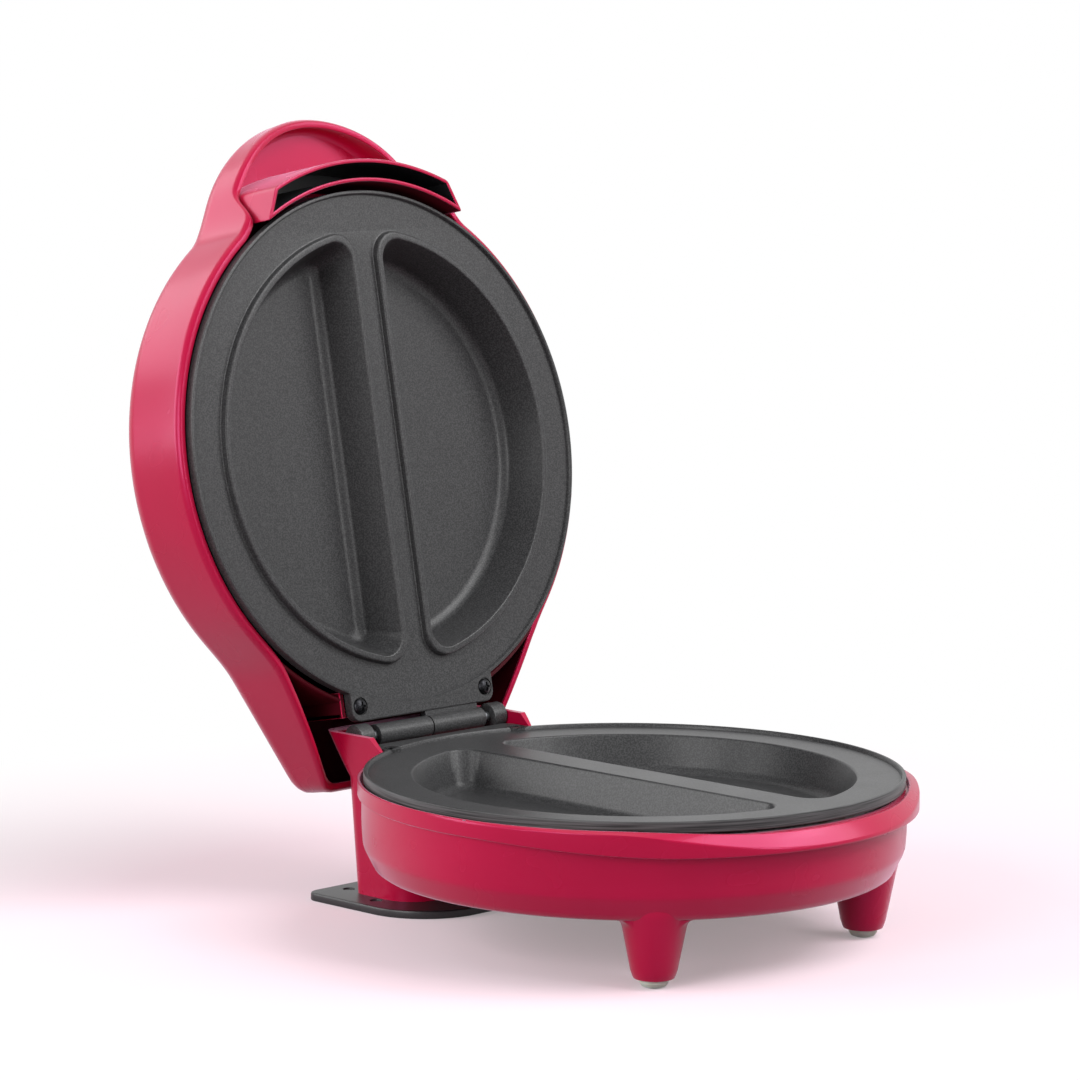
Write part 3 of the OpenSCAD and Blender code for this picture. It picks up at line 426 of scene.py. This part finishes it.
# rimLean is the share by which the rim's inner edge leans out, 0.6 mm at its radius
plate = {
    "radius": 95.0, "flange": 4.0, "rim": 1.7, "drop": 1.3, "lowerZ": 58.6, "upperZ": 60.6,
    "pocketDepth": 15.0, "pocketRadius": 78.0, "halfGap": 7.5, "corner": 8.0, "draft": math.radians(20),
    "fillet": 4.6, "mouth": 1.0, "wall": 2.5,
    "lipMouth": 0.6, "lipRise": 1.2, "lipWidth": 2.0, "lipSpread": 3.2, "rimLean": 0.6 / 93, "soft": 0.5,
    "lugHalf": 36.0, "lugGap": 5.6, "lugCorner": 4.0,
    "barrel": 4.0, "barrelHalf": 27.0, "seam": 0.4, "earInner": 30.5, "earWidth": 6.7, "earRadius": 4.9,
    "screwX": 31.8, "lowerScrewY": 89.5, "upperScrewY": 92.9, "screwHead": 3.0, "screwRecess": 0.5,
}


def pocketPlan(inset, side, arcSteps=96, cornerSteps=16, edgeSteps=24):
    # D outline: straight edge near the middle, long arc, two rounded corners
    p = plate
    s, r = p["halfGap"] + inset, p["pocketRadius"] - inset
    c = max(3.5, p["corner"] - 0.55 * inset)
    cornerY = math.sqrt((r - c) ** 2 - (s + c) ** 2)
    turn = math.degrees(math.atan2(cornerY, s + c))
    points = arc(0, 0, r, -turn, turn, arcSteps)
    points += arc(s + c, cornerY, c, turn, 180, cornerSteps)[1:]
    points += [(s, cornerY - 2 * cornerY * i / edgeSteps) for i in range(1, edgeSteps)]
    points += arc(s + c, -cornerY, c, 180, 360 - turn, cornerSteps)[:-1]
    return [(side * x, y) for x, y in points]


def pocketSection(depth, roundMouth, fillet, grow):
    # pairs of inset and depth from the mouth's rounding down to the floor
    d = plate["draft"]
    t, k = math.tan(d), 1 / math.cos(d)
    g = -grow * k
    mouthCentre = roundMouth * t - roundMouth * k + g
    floorCentre = (depth - fillet) * t + fillet * k + g
    section = [(g, 0.0)]
    if roundMouth > 0:
        section = [(x, roundMouth - y) for x, y in arc(mouthCentre, 0, roundMouth, 90, math.degrees(d), 6)]
    turns = [d + (math.pi / 2 - d) * i / 14 for i in range(15)]
    floorZ = depth - fillet
    return section + [(floorCentre - fillet * math.cos(a), floorZ + fillet * math.sin(a)) for a in turns]


def flangeOutline(inset, steps=256):
    # circle with the lug behind it, counter-clockwise from the lug's left corner
    p = plate
    lugY = hinge["reach"] - p["lugGap"] - inset
    half, corner, r = p["lugHalf"] - inset, p["lugCorner"], p["radius"] - inset
    meet = math.degrees(math.acos(half / r))
    outline = arc(0, 0, r, 180 - meet, 360 + meet, steps)
    outline += arc(half - corner, lugY - corner, corner, 0, 90, 8)
    outline += arc(-half + corner, lugY - corner, corner, 90, 180, 8)
    return outline


def fillPlan(bm, outline, holes, z):
    # flat face with holes at height z
    loops = [[Vector((x, y, z)) for x, y in loop] for loop in [outline] + holes]
    flat = [p for loop in loops for p in loop]
    verts = [bm.verts.new(p) for p in flat]
    for triangle in tessellate_polygon(loops):
        try:
            face = bm.faces.new([verts[i] for i in triangle])
        except ValueError:
            continue
        face.smooth = True


def screwHoles(screwY, radius):
    return [fullCircle(side * plate["screwX"], screwY, radius, 32) for side in (-1, 1)]


def plateMetal(bm, lips, screwY, edgeSlot=0):
    # plate with its rim plane at z = 0 and its pockets hanging below
    p = plate
    face, width, rise, spread, under = -p["drop"], p["lipWidth"], p["lipRise"], p["lipSpread"], -p["flange"]
    mouthZ = rise if lips else face
    section = pocketSection(p["pocketDepth"] + mouthZ, p["lipMouth"] if lips else p["mouth"], p["fillet"], 0)
    shell = pocketSection(p["pocketDepth"] - p["drop"] + p["wall"], 0, p["fillet"] + p["wall"], p["wall"])
    mouth, shellMouth = section[0][0], shell[0][0]
    pocket = [(inset, mouthZ - d) for inset, d in section]
    crest = [(-spread, face), (-spread + 0.5, face + 0.25), (-width - 0.45, rise - 0.5),
             (-width - 0.1, rise - 0.12), (-width + 0.4, rise), (mouth, rise)]
    outside = [(shellMouth, under)] + [(inset, face - d) for inset, d in shell if face - d < under]
    mouths, shells = [], []
    for side in (-1, 1):
        addLoft(bm, planRings(pocketPlan, pocket, side), 0, False, True)
        if lips:
            addLoft(bm, planRings(pocketPlan, crest, side), 0)
        mouths.append(pocketPlan(-spread if lips else mouth, side))
        addLoft(bm, planRings(pocketPlan, outside, side), 0, False, True)
        shells.append(pocketPlan(shellMouth, side))

    innerRim = fullCircle(0, 0, p["radius"] - p["rim"], 256)
    heads = screwHoles(screwY, p["screwHead"] + 0.4)
    onRim = math.hypot(p["screwX"], screwY) > p["radius"]
    fillPlan(bm, innerRim, mouths, face)
    scales = ((1.0, face), (1.0 + p["rimLean"] / 3, -0.35), (1.0 + p["rimLean"], 0.0))
    lean = [[(x * k, y * k, z) for x, y in innerRim] for k, z in scales]
    addLoft(bm, lean, 0)
    soft = p["soft"]
    fillPlan(bm, flangeOutline(soft), [[point[:2] for point in lean[-1]]] + heads, 0.0)
    edge = [(soft, 0.0), (0.15, -0.15), (0.0, -soft)]
    edge += [(0.0, under + soft), (0.15, under + 0.15), (soft, under)]
    addLoft(bm, planRings(flangeOutline, edge), edgeSlot)
    fillPlan(bm, flangeOutline(soft), shells, under)
    seat = -p["screwRecess"] - (0 if onRim else p["drop"])
    for hole in heads:
        addLoft(bm, raised(hole, (0.0, seat)), 0, False, True)


def makeLowerPlate():
    # with the left half of the hinge barrel and the two ears
    p = plate
    bm = bmesh.new()
    plateMetal(bm, False, p["lowerScrewY"], 1)
    bm.transform(plateShift @ Matrix.Translation((0, 0, p["lowerZ"])))
    z = hinge["height"]
    low, seam, front = p["lowerZ"] - p["flange"], p["seam"] / 2, -p["lugGap"]
    addRod(bm, p["barrel"], -p["barrelHalf"], -seam, z)
    addBlock(bm, (-p["barrelHalf"], front - 1, low), (-seam, -3.4, low + 3.4))
    for side in (-1, 1):
        xs = sorted((side * p["earInner"], side * (p["earInner"] + p["earWidth"])))
        addRod(bm, p["earRadius"], xs[0], xs[1], z, 0.6)
        addBlock(bm, (xs[0], front - 3, low), (xs[1], 2, low + 3.2))
    finishPiece(bm, "lowerPlateMetal", [coat, edgeCoat], "base", ["lower_plate"])


def makeUpperPlate():
    # with the right half of the hinge barrel
    p = plate
    bm = bmesh.new()
    plateMetal(bm, True, p["upperScrewY"])
    bm.transform(plateShift @ Matrix.Translation((0, 0, p["upperZ"])) @ Matrix.Scale(-1, 4, (0, 0, 1)))
    z, seam = p["upperZ"], p["seam"] / 2
    addRod(bm, p["barrel"], seam, p["barrelHalf"], hinge["height"])
    addBlock(bm, (seam, -p["lugGap"] - 1, z + 0.4), (p["barrelHalf"], 0, z + p["flange"] - 0.6))
    finishPiece(bm, "upperPlateMetal", [coat], "lid", ["upper_plate"], openTurn)


base = {
    "seat": 95.8, "rimZ": 55.7, "dipZ": 53.5, "lugZ": 54.3, "rimWidth": 1.3, "band": 97.0, "steps": 480,
    "dipAngles": (14, 52), "lugAngles": (157.2, 155.6), "lowAngles": (35, 85), "facetAngles": (8, 52),
    "lipRadius": 97.0, "lipShift": 3.6, "lipZ": 47.0, "sideLipZ": 50.0,
    "wall": 95.6, "creaseZ": 32.5, "crease": 95.0, "floorZ": 24.3, "foot": 91.0, "thick": 2.4,
    "legX": 54.17, "legY": 59.95, "legLow": 7.4, "legHigh": 11.6, "legZ": 3.0, "legFillet": 3.5,
    "legSteps": 96,
    "columnHalf": 33.7, "columnBack": 4.6, "columnFront": 27.0, "columnRear": 6.0, "columnNose": 14.0,
    "columnWiden": 2.3, "columnDeepen": 2.0, "flareFrom": 46.0, "flarePower": 0.85,
    "shoulderHalf": 40.0, "shoulderBack": 14.0, "shoulderZ": 62.6, "standTop": 3.0, "edge": 0.45,
    "troughHalf": 37.5, "troughFront": 16.0, "troughBack": 8.0, "cutFloor": 54.6, "cutTop": 90.0,
    "plateRoom": 95.6,
}


def rimHeight(degrees):
    # low where the front dips and where the plate's lug passes over the rear
    s = base
    if degrees < 90:
        return s["dipZ"] + (s["rimZ"] - s["dipZ"]) * ease(degrees, *s["dipAngles"])
    return s["lugZ"] + (s["rimZ"] - s["lugZ"]) * ease(degrees, *s["lugAngles"])


def bowlSection(degrees):
    # from the seat inside the rim over the lip, down the wall and along the underside, then back inside
    s = base
    a = math.radians(degrees)
    top = rimHeight(degrees)
    swell = s["lipShift"] * math.cos(a) + math.sqrt(s["lipRadius"] ** 2 - (s["lipShift"] * math.sin(a)) ** 2)
    lip = blendMax(s["band"], swell, 1.2)
    low = s["lipZ"] + (s["sideLipZ"] - s["lipZ"]) * ease(degrees, *s["lowAngles"])
    facet = low + 1.2 + (top - low - 1.9) * ease(degrees, *s["facetAngles"])
    start = s["seat"] + s["rimWidth"]
    run = Vector((lip - start, facet - top))
    along = run.normalized() * 0.55
    seat, wall, crease, creaseZ, foot = s["seat"], s["wall"], s["crease"], s["creaseZ"], s["foot"]
    floor, above = s["floorZ"], s["floorZ"] + s["thick"]
    points = [(seat, top - 0.7), (seat + 0.12, top - 0.25), (seat + 0.45, top), (start - 0.35, top),
              (start + along.x * 0.5, top + along.y * 0.5), (start + run.x / 2, top + run.y / 2),
              (lip - along.x, facet - along.y), (lip - along.x * 0.25, facet - along.y * 0.25 - 0.05),
              (lip, facet - 0.5), (lip, (facet + low) / 2), (lip, low + 0.45), (lip - 0.15, low + 0.12),
              (lip - 0.5, low), (wall + 0.45, low - 0.25), (wall + 0.1, low - 0.5), (wall, low - 1.2),
              (wall, 43), (wall - 0.15, 38), (crease + 0.15, 34.2), (crease, creaseZ + 0.5),
              (crease - 0.25, creaseZ - 0.3), (crease - 0.7, creaseZ - 1.4), (foot + 1.2, floor + 2.6),
              (foot + 0.3, floor + 1.0), (foot - 0.9, floor + 0.2), (foot - 2.2, floor),
              (60, floor), (20, floor), (2, floor)]
    inside = [(2, above), (20, above), (60, above), (foot - 5, above), (crease - 3, creaseZ),
              (wall - 2.8, 40), (seat - 2.4, 53.5), (seat, 53.6)]
    return points, inside


def addLeg(bm, side):
    # tapered leg with a rounded foot and a hollow fillet under the bowl, kept inside the bowl's edge
    s = base
    centre = Vector((side * s["legX"], -s["legY"]))
    low, high, foot, floor, fillet = s["legLow"], s["legHigh"], s["legZ"], s["floorZ"], s["legFillet"]
    slope = (high - low) / (floor - foot)
    profile = [(low - 2.6, foot), (low - 1.2, foot), (low - 0.45, foot + 0.3), (low - 0.05, foot + 1.1)]
    profile += [(low + slope * (z - foot), z) for z in (6, 10, 14, 18, floor - fillet)]
    for i in range(1, 7):
        turn = math.radians(15 * i)
        z = floor - fillet + fillet * math.sin(turn)
        profile.append((low + slope * (z - foot) + fillet * (1 - math.cos(turn)), z))
    profile += [(high + 0.3, floor + 1.2), (high + 0.5, 27.5), (high - 0.1, 29.0), (high - 1.6, 30.3)]
    profile += [(high - 5, 31.2)]
    rings = []
    for r, z in profile:
        ring = []
        plain = min(r, low + slope * (z - foot)) if z <= floor else r
        for i in range(s["legSteps"]):
            a = 2 * math.pi * i / s["legSteps"]
            straight = Vector((math.cos(a), math.sin(a)))
            point = centre + straight * r
            spare = r - plain
            while spare > 0 and point.length > s["foot"] - 1.5:
                spare -= 0.1
                point = centre + straight * (plain + max(0.0, spare))
            ring.append((point.x, point.y, z))
        rings.append(ring)
    addLoft(bm, rings, 0, True, True)


def columnRing(z):
    # the column's plan at a height: it widens slowly, then flares into the shoulders
    s = base
    low = min(1, z / s["flareFrom"])
    flare = max(0.0, (z - s["flareFrom"]) / (s["shoulderZ"] - s["flareFrom"]))
    widen, deepen = s["columnWiden"], s["columnDeepen"]
    half = s["columnHalf"] + widen * low
    half += (s["shoulderHalf"] - s["columnHalf"] - widen) * flare ** s["flarePower"]
    back = s["columnBack"] + deepen * low + (s["shoulderBack"] - s["columnBack"] - deepen) * flare
    plan = roundedPlan(half, back, s["columnFront"], s["columnRear"], s["columnNose"], 12)
    return [(x, y, z) for x, y in plan]


def meshObject(name, bm):
    mesh = bpy.data.meshes.new(name)
    bmesh.ops.recalc_face_normals(bm, faces=bm.faces)
    bm.to_mesh(mesh)
    bm.free()
    return linkedObject(name, mesh)


def blockObject(name, rings):
    # closed block through the given rings
    bm = bmesh.new()
    addLoft(bm, rings, 0, True, True)
    return meshObject(name, bm)


def prism(name, section, x0, x1):
    # straight block along X with the given outline in Y and Z
    return blockObject(name, [[(x, y, z) for y, z in section] for x in (x0, x1)])


def shapedColumn():
    # column and shoulders, cut for the hinge and the plate, with their edges broken
    s = base
    start = s["flareFrom"]
    levels = [s["standTop"], 10, 20, 30, 40] + [start + 1.66 * i for i in range(10)] + [s["shoulderZ"]]
    column = blockObject("column", [columnRing(z) for z in levels])
    front, back, floor, top, rim = -s["troughFront"], s["troughBack"], s["cutFloor"], s["cutTop"], s["rimZ"]
    trough = prism("trough", [(front, floor), (back, floor), (back, top), (front, top)],
                   -s["troughHalf"], s["troughHalf"])
    ramp = [(-60, rim), (-17.5, rim), (-15.5, 58.3), (-10.5, 63.1), (-10.5, top), (-60, top)]
    slope = prism("slope", ramp, -60, 60)
    room = [(x, y - hinge["reach"]) for x, y in fullCircle(0, 0, s["plateRoom"], 256)]
    seat = blockObject("seatCutter", raised(room, (floor, top)))
    for cutter in (trough, slope, seat):
        cut = column.modifiers.new(cutter.name, "BOOLEAN")
        cut.operation, cut.solver, cut.object = "DIFFERENCE", "EXACT", cutter
    bevel = column.modifiers.new("edges", "BEVEL")
    bevel.width, bevel.segments, bevel.use_clamp_overlap = s["edge"], 3, True
    bevel.limit_method, bevel.angle_limit = "ANGLE", math.radians(35)
    finished = bpy.data.meshes.new_from_object(column.evaluated_get(bpy.context.evaluated_depsgraph_get()))
    for used in (column, trough, slope, seat):
        bpy.data.objects.remove(used)
    return finished


def makeBase():
    s = base
    bm = bmesh.new()
    angles = [360 * i / s["steps"] for i in range(s["steps"])]
    sections = [bowlSection(min(a, 360 - a)) for a in angles]
    turns = [math.radians(a) for a in angles]
    outside, inside = (sectionRings(half, turns) for half in zip(*sections))
    addLoft(bm, outside, 0, False, True)
    addLoft(bm, inside + [outside[0]], 0, True, False)
    for side in (-1, 1):
        addLeg(bm, side)
    bm.transform(plateShift)
    bm.from_mesh(shapedColumn())
    finishPiece(bm, "baseHousing", [pink], "base", ["base_housing"])


stand = {
    "half": 45.0, "back": 17.5, "front": 44.5, "thick": 3.0, "rear": 5.0, "nose": 26.0, "edge": 0.8,
    "dimples": [(37.0, -11.6), (30.6, 9.6)], "dimple": 2.4, "dimpleDepth": 0.5,
    "screwX": 28.6, "screwY": -8.0, "well": 3.2, "wellDepth": 2.1,
}


def standPlan(inset):
    return roundedPlan(*(stand[k] - inset for k in ("half", "back", "front", "rear", "nose")), 40)


def makeStand():
    s = stand
    bm = bmesh.new()
    e, t = s["edge"], s["thick"]
    holes = [fullCircle(side * x, y, s["dimple"], 32) for side in (-1, 1) for x, y in s["dimples"]]
    wells = [fullCircle(side * s["screwX"], s["screwY"], s["well"], 32) for side in (-1, 1)]
    levels = [(e, 0.0), (0.25 * e, 0.1 * e), (0.0, 0.4 * e), (0.0, t - e), (0.3 * e, t - 0.3 * e), (e, t)]
    addLoft(bm, planRings(standPlan, levels), 0)
    fillPlan(bm, standPlan(e), holes, t)
    fillPlan(bm, standPlan(e), wells, 0.0)
    for well in wells:
        addLoft(bm, raised(well, (0.0, s["wellDepth"])), 0, False, True)
    for hole in holes:
        centre = Vector(hole[0]) - Vector((s["dimple"], 0))
        rings = [[tuple(centre + (Vector(p) - centre) * k) + (z,) for p in hole]
                 for k, z in ((1.0, t), (0.93, t - 0.12), (0.9, t - s["dimpleDepth"]))]
        addLoft(bm, rings, 0, False, True)
    finishPiece(bm, "standPlate", [blackPp], "base", ["stand_plate"])


screws = {
    "headRadius": 3.0, "headHeight": 1.8, "slotWidth": 0.75, "slotDepth": 1.0, "slotLength": 1.15,
    "segments": 40, "rings": 24,
}


def screwTree(material):
    # domed head with a cross recess on every point of the input mesh, all turned the same way
    s = screws
    tree = bpy.data.node_groups.new("crossScrews", "GeometryNodeTree")
    face = tree.interface
    face.new_socket("Points", in_out="INPUT", socket_type="NodeSocketGeometry")
    sockets = {}
    for label, size in (("Head radius", "headRadius"), ("Head height", "headHeight"),
                        ("Slot width", "slotWidth"), ("Slot depth", "slotDepth")):
        socket = face.new_socket(label, in_out="INPUT", socket_type="NodeSocketFloat")
        socket.default_value = s[size] * mm
        sockets[label] = socket.identifier
    sockets["Turn"] = face.new_socket("Turn", in_out="INPUT", socket_type="NodeSocketRotation").identifier
    face.new_socket("Screws", in_out="OUTPUT", socket_type="NodeSocketGeometry")
    given = addNode(tree, "NodeGroupInput").outputs
    radius, height, width = given["Head radius"], given["Head height"], given["Slot width"]

    sphere = {"Segments": s["segments"], "Rings": s["rings"]}
    ball = addNode(tree, "GeometryNodeMeshUVSphere", sphere, {"Radius": radius}).outputs["Mesh"]
    squash = addNode(tree, "ShaderNodeMath", {"operation": "DIVIDE"}, {0: height, 1: radius}).outputs[0]
    scale = addNode(tree, "ShaderNodeCombineXYZ", {"X": 1.0, "Y": 1.0}, {"Z": squash}).outputs[0]
    head = addNode(tree, "GeometryNodeTransform", links={"Geometry": ball, "Scale": scale}).outputs[0]

    # one block takes the lower half away, two bars cut the cross
    factors = ((radius, 3), (radius, 2), (radius, -1), (radius, s["slotLength"]), (given["Slot depth"], 2))
    wide, deep, down, length, tall = (
        addNode(tree, "ShaderNodeMath", {"operation": "MULTIPLY", 1: factor}, {0: value}).outputs[0]
        for value, factor in factors)
    blocks = ((wide, wide, deep, down), (length, width, tall, height), (width, length, tall, height))
    for x, y, z, lift in blocks:
        size = addNode(tree, "ShaderNodeCombineXYZ", links={"X": x, "Y": y, "Z": z}).outputs[0]
        block = addNode(tree, "GeometryNodeMeshCube", links={"Size": size}).outputs["Mesh"]
        place = addNode(tree, "ShaderNodeCombineXYZ", links={"Z": lift}).outputs[0]
        links = {"Geometry": block, "Translation": place}
        cutter = addNode(tree, "GeometryNodeTransform", links=links).outputs[0]
        cut = addNode(tree, "GeometryNodeMeshBoolean", {"operation": "DIFFERENCE", "solver": "EXACT"})
        tree.links.new(head, cut.inputs[0])
        tree.links.new(cutter, cut.inputs[1])
        head = cut.outputs[0]
    links = {"Points": given["Points"], "Instance": head, "Rotation": given["Turn"]}
    placed = addNode(tree, "GeometryNodeInstanceOnPoints", links=links).outputs[0]
    whole = addNode(tree, "GeometryNodeRealizeInstances", links={"Geometry": placed}).outputs[0]
    painted = addNode(tree, "GeometryNodeSetMaterial", {"Material": material}, {"Geometry": whole}).outputs[0]
    addNode(tree, "NodeGroupOutput", links={"Screws": painted})
    return tree, sockets


def makeScrews(name, material, places, turn, body, replaced):
    # places in millimetres; turn is the head's rotation as Euler angles
    tree, sockets = screwTree(material)
    mesh = bpy.data.meshes.new(name)
    mesh.from_pydata([tuple(c * mm for c in p) for p in places], [], [])
    maker = linkedObject(name + "Points", mesh)
    modifier = maker.modifiers.new("screws", "NODES")
    modifier.node_group = tree
    modifier[sockets["Head radius"]] = screws["headRadius"] * mm
    modifier[sockets["Turn"]] = turn
    finished = bpy.data.meshes.new_from_object(maker.evaluated_get(bpy.context.evaluated_depsgraph_get()))
    bpy.data.objects.remove(maker)
    finished.name = name
    finished.shade_smooth()
    finished.set_sharp_from_angle(angle=math.radians(40))
    handOver(linkedObject(name, finished), body, replaced)


def opened(x, y, z):
    # a point of the shut lid, carried to where the open lid holds it
    return tuple(openTurn @ Vector((x, y - hinge["reach"], z)))


def makeAllScrews():
    p, s = plate, stand
    lowerZ = p["lowerZ"] - p["drop"] - p["screwRecess"]
    upperZ = p["upperZ"] + p["screwRecess"]
    pair = (-1, 1)
    lower = [(side * p["screwX"], p["lowerScrewY"] - hinge["reach"], lowerZ) for side in pair]
    upper = [opened(side * p["screwX"], p["upperScrewY"], upperZ) for side in pair]
    under = [(side * s["screwX"], s["screwY"], s["wellDepth"]) for side in pair]
    makeScrews("lowerPlateScrews", oxide, lower, (0, 0, math.radians(20)), "base",
               ["lower_plate_screws"])
    makeScrews("upperPlateScrews", oxide, upper, (math.pi - hinge["open"], 0, 0), "lid",
               ["upper_plate_screws"])
    makeScrews("standPlateScrews", zinc, under, (math.pi, 0, math.radians(30)), "base",
               ["stand_plate_screws"])


makeLid()
makeLowerPlate()
makeUpperPlate()
makeBase()
makeStand()
makeAllScrews()
print("pieces made")


# Camera: solved from the photograph's own edges, in metres and degrees
camera = {
    "place": (-1.0558, -1.0846, 0.32655), "yaw": 45.785, "pitch": -7.40, "roll": 0.286,
    "lens": 139.12, "sensor": 36.0, "near": 0.05, "far": 20,
}


def placeCamera():
    yaw, pitch, roll = (math.radians(camera[k]) for k in ("yaw", "pitch", "roll"))
    forward = Vector((math.sin(yaw) * math.cos(pitch), math.cos(yaw) * math.cos(pitch), math.sin(pitch)))
    side = Vector((math.cos(yaw), -math.sin(yaw), 0))
    up = side.cross(forward)
    right = side * math.cos(roll) + up * math.sin(roll)
    top = up * math.cos(roll) - side * math.sin(roll)
    data = bpy.data.cameras.new("camera")
    data.lens, data.sensor_width = camera["lens"], camera["sensor"]
    data.clip_start, data.clip_end = camera["near"], camera["far"]
    eye = linkedObject("camera", data)
    turn = Matrix((right, top, -forward)).transposed().to_4x4()
    eye.matrix_world = Matrix.Translation(camera["place"]) @ turn
    bpy.context.scene.camera = eye


# Studio, in metres: white sweep and world, and six soft boxes named for where they stand
studio = {
    # the paper's pink tint is painted pink bounce light in the object's shadow
    "floorHalf": 6.0, "bounceTintedPaper": "#F8DFEA", "card": "#785864",
    "shadowCentre": (0.0, -0.08, 0.0), "shadowStart": 0.18, "shadowEnd": 0.39, "shadowLift": 0.24,
    "aim": (0, -0.05, 0.1),
    "softBoxes": [
        {"name": "leftBox", "place": (-1.3, 0.95, 0.62), "size": 0.9, "tall": 1.0, "power": 15},
        {"name": "backBox", "place": (-0.45, 1.35, 1.0), "size": 1.0, "tall": 0.8, "power": 6.3},
        {"name": "rightBox", "place": (1.0, -1.1, 1.02), "size": 0.8, "tall": 0.7, "power": 8},
        {"name": "frontBox", "place": (0.25, -1.65, 0.66), "size": 0.3, "tall": 0.5, "power": 5.2},
        {"name": "sideBox", "place": (-1.45, -0.3, 0.55), "size": 0.7, "tall": 0.8, "power": 11},
        {"name": "topBox", "place": (0.36, -0.85, 1.22), "size": 0.9, "tall": 0.9, "power": 14.5},
    ],
    "worldStrength": 0.3,
}


def seenRay(tree):
    # 1 for rays from the camera, a mirror or a clear pane
    path = addNode(tree, "ShaderNodeLightPath")
    seen = path.outputs["Is Camera Ray"]
    for label in ("Is Glossy Ray", "Is Transmission Ray"):
        either = {0: seen, 1: path.outputs[label]}
        seen = addNode(tree, "ShaderNodeMath", {"operation": "MAXIMUM"}, either).outputs[0]
    return seen


def layFloor():
    # paper that keeps the shadow near the object and turns to the white of the background further out
    s = studio
    corners = [(x * s["floorHalf"], y * s["floorHalf"], 0) for x, y in ((-1, -1), (1, -1), (1, 1), (-1, 1))]
    mesh = bpy.data.meshes.new("floor")
    mesh.from_pydata(corners, [], [(0, 1, 2, 3)])
    floor = linkedObject("floor", mesh)
    material = bpy.data.materials.new("whiteSweep")
    material.use_nodes = True
    tree = material.node_tree
    tree.nodes.clear()
    # pink paper: painted pink bounce light in the shadow
    bounceTintedPaper = addNode(tree, "ShaderNodeBsdfDiffuse", {"Color": linearColour(s["bounceTintedPaper"])})
    # bounced light sees a darker card, so that the undersides stay deep
    card = addNode(tree, "ShaderNodeBsdfDiffuse", {"Color": linearColour(s["card"])})
    bounced = addNode(tree, "ShaderNodeLightPath").outputs["Is Diffuse Ray"]
    links = {0: bounced, 1: bounceTintedPaper.outputs[0], 2: card.outputs[0]}
    ground = addNode(tree, "ShaderNodeMixShader", links=links).outputs[0]
    glow = addNode(tree, "ShaderNodeEmission", {"Color": (1, 1, 1, 1), "Strength": 1.0})
    coords = addNode(tree, "ShaderNodeTexCoord").outputs["Object"]
    centre = {"operation": "DISTANCE", 1: s["shadowCentre"]}
    away = addNode(tree, "ShaderNodeVectorMath", centre, {0: coords}).outputs["Value"]
    limits = {"From Min": s["shadowStart"], "From Max": s["shadowEnd"], "To Min": s["shadowLift"]}
    fade = addNode(tree, "ShaderNodeMapRange", limits, {"Value": away}).outputs["Result"]
    share = addNode(tree, "ShaderNodeMath", {"operation": "MULTIPLY"}, {0: fade, 1: seenRay(tree)}).outputs[0]
    blend = addNode(tree, "ShaderNodeMixShader", links={0: share, 1: ground, 2: glow.outputs[0]})
    addNode(tree, "ShaderNodeOutputMaterial", links={"Surface": blend.outputs[0]})
    mesh.materials.append(material)


def lightStudio():
    scene = bpy.context.scene
    for box in studio["softBoxes"]:
        data = bpy.data.lights.new(box["name"], "AREA")
        data.shape, data.size, data.size_y, data.energy = "RECTANGLE", box["size"], box["tall"], box["power"]
        lamp = linkedObject(box["name"], data)
        lamp.location = box["place"]
        towards = Vector(studio["aim"]) - Vector(box["place"])
        lamp.rotation_euler = towards.to_track_quat("-Z", "Y").to_euler()
    world = scene.world or bpy.data.worlds.new("studioWorld")
    scene.world = world
    world.use_nodes = True
    tree = world.node_tree
    tree.nodes.clear()
    ambient = {"operation": "MAXIMUM", 1: studio["worldStrength"]}
    strength = addNode(tree, "ShaderNodeMath", ambient, {0: seenRay(tree)}).outputs["Value"]
    background = addNode(tree, "ShaderNodeBackground", {"Color": (1, 1, 1, 1)}, {"Strength": strength})
    addNode(tree, "ShaderNodeOutputWorld", links={"Surface": background.outputs["Background"]})
    scene.view_settings.view_transform = "Standard"


placeCamera()
layFloor()
lightStudio()
print("studio set")
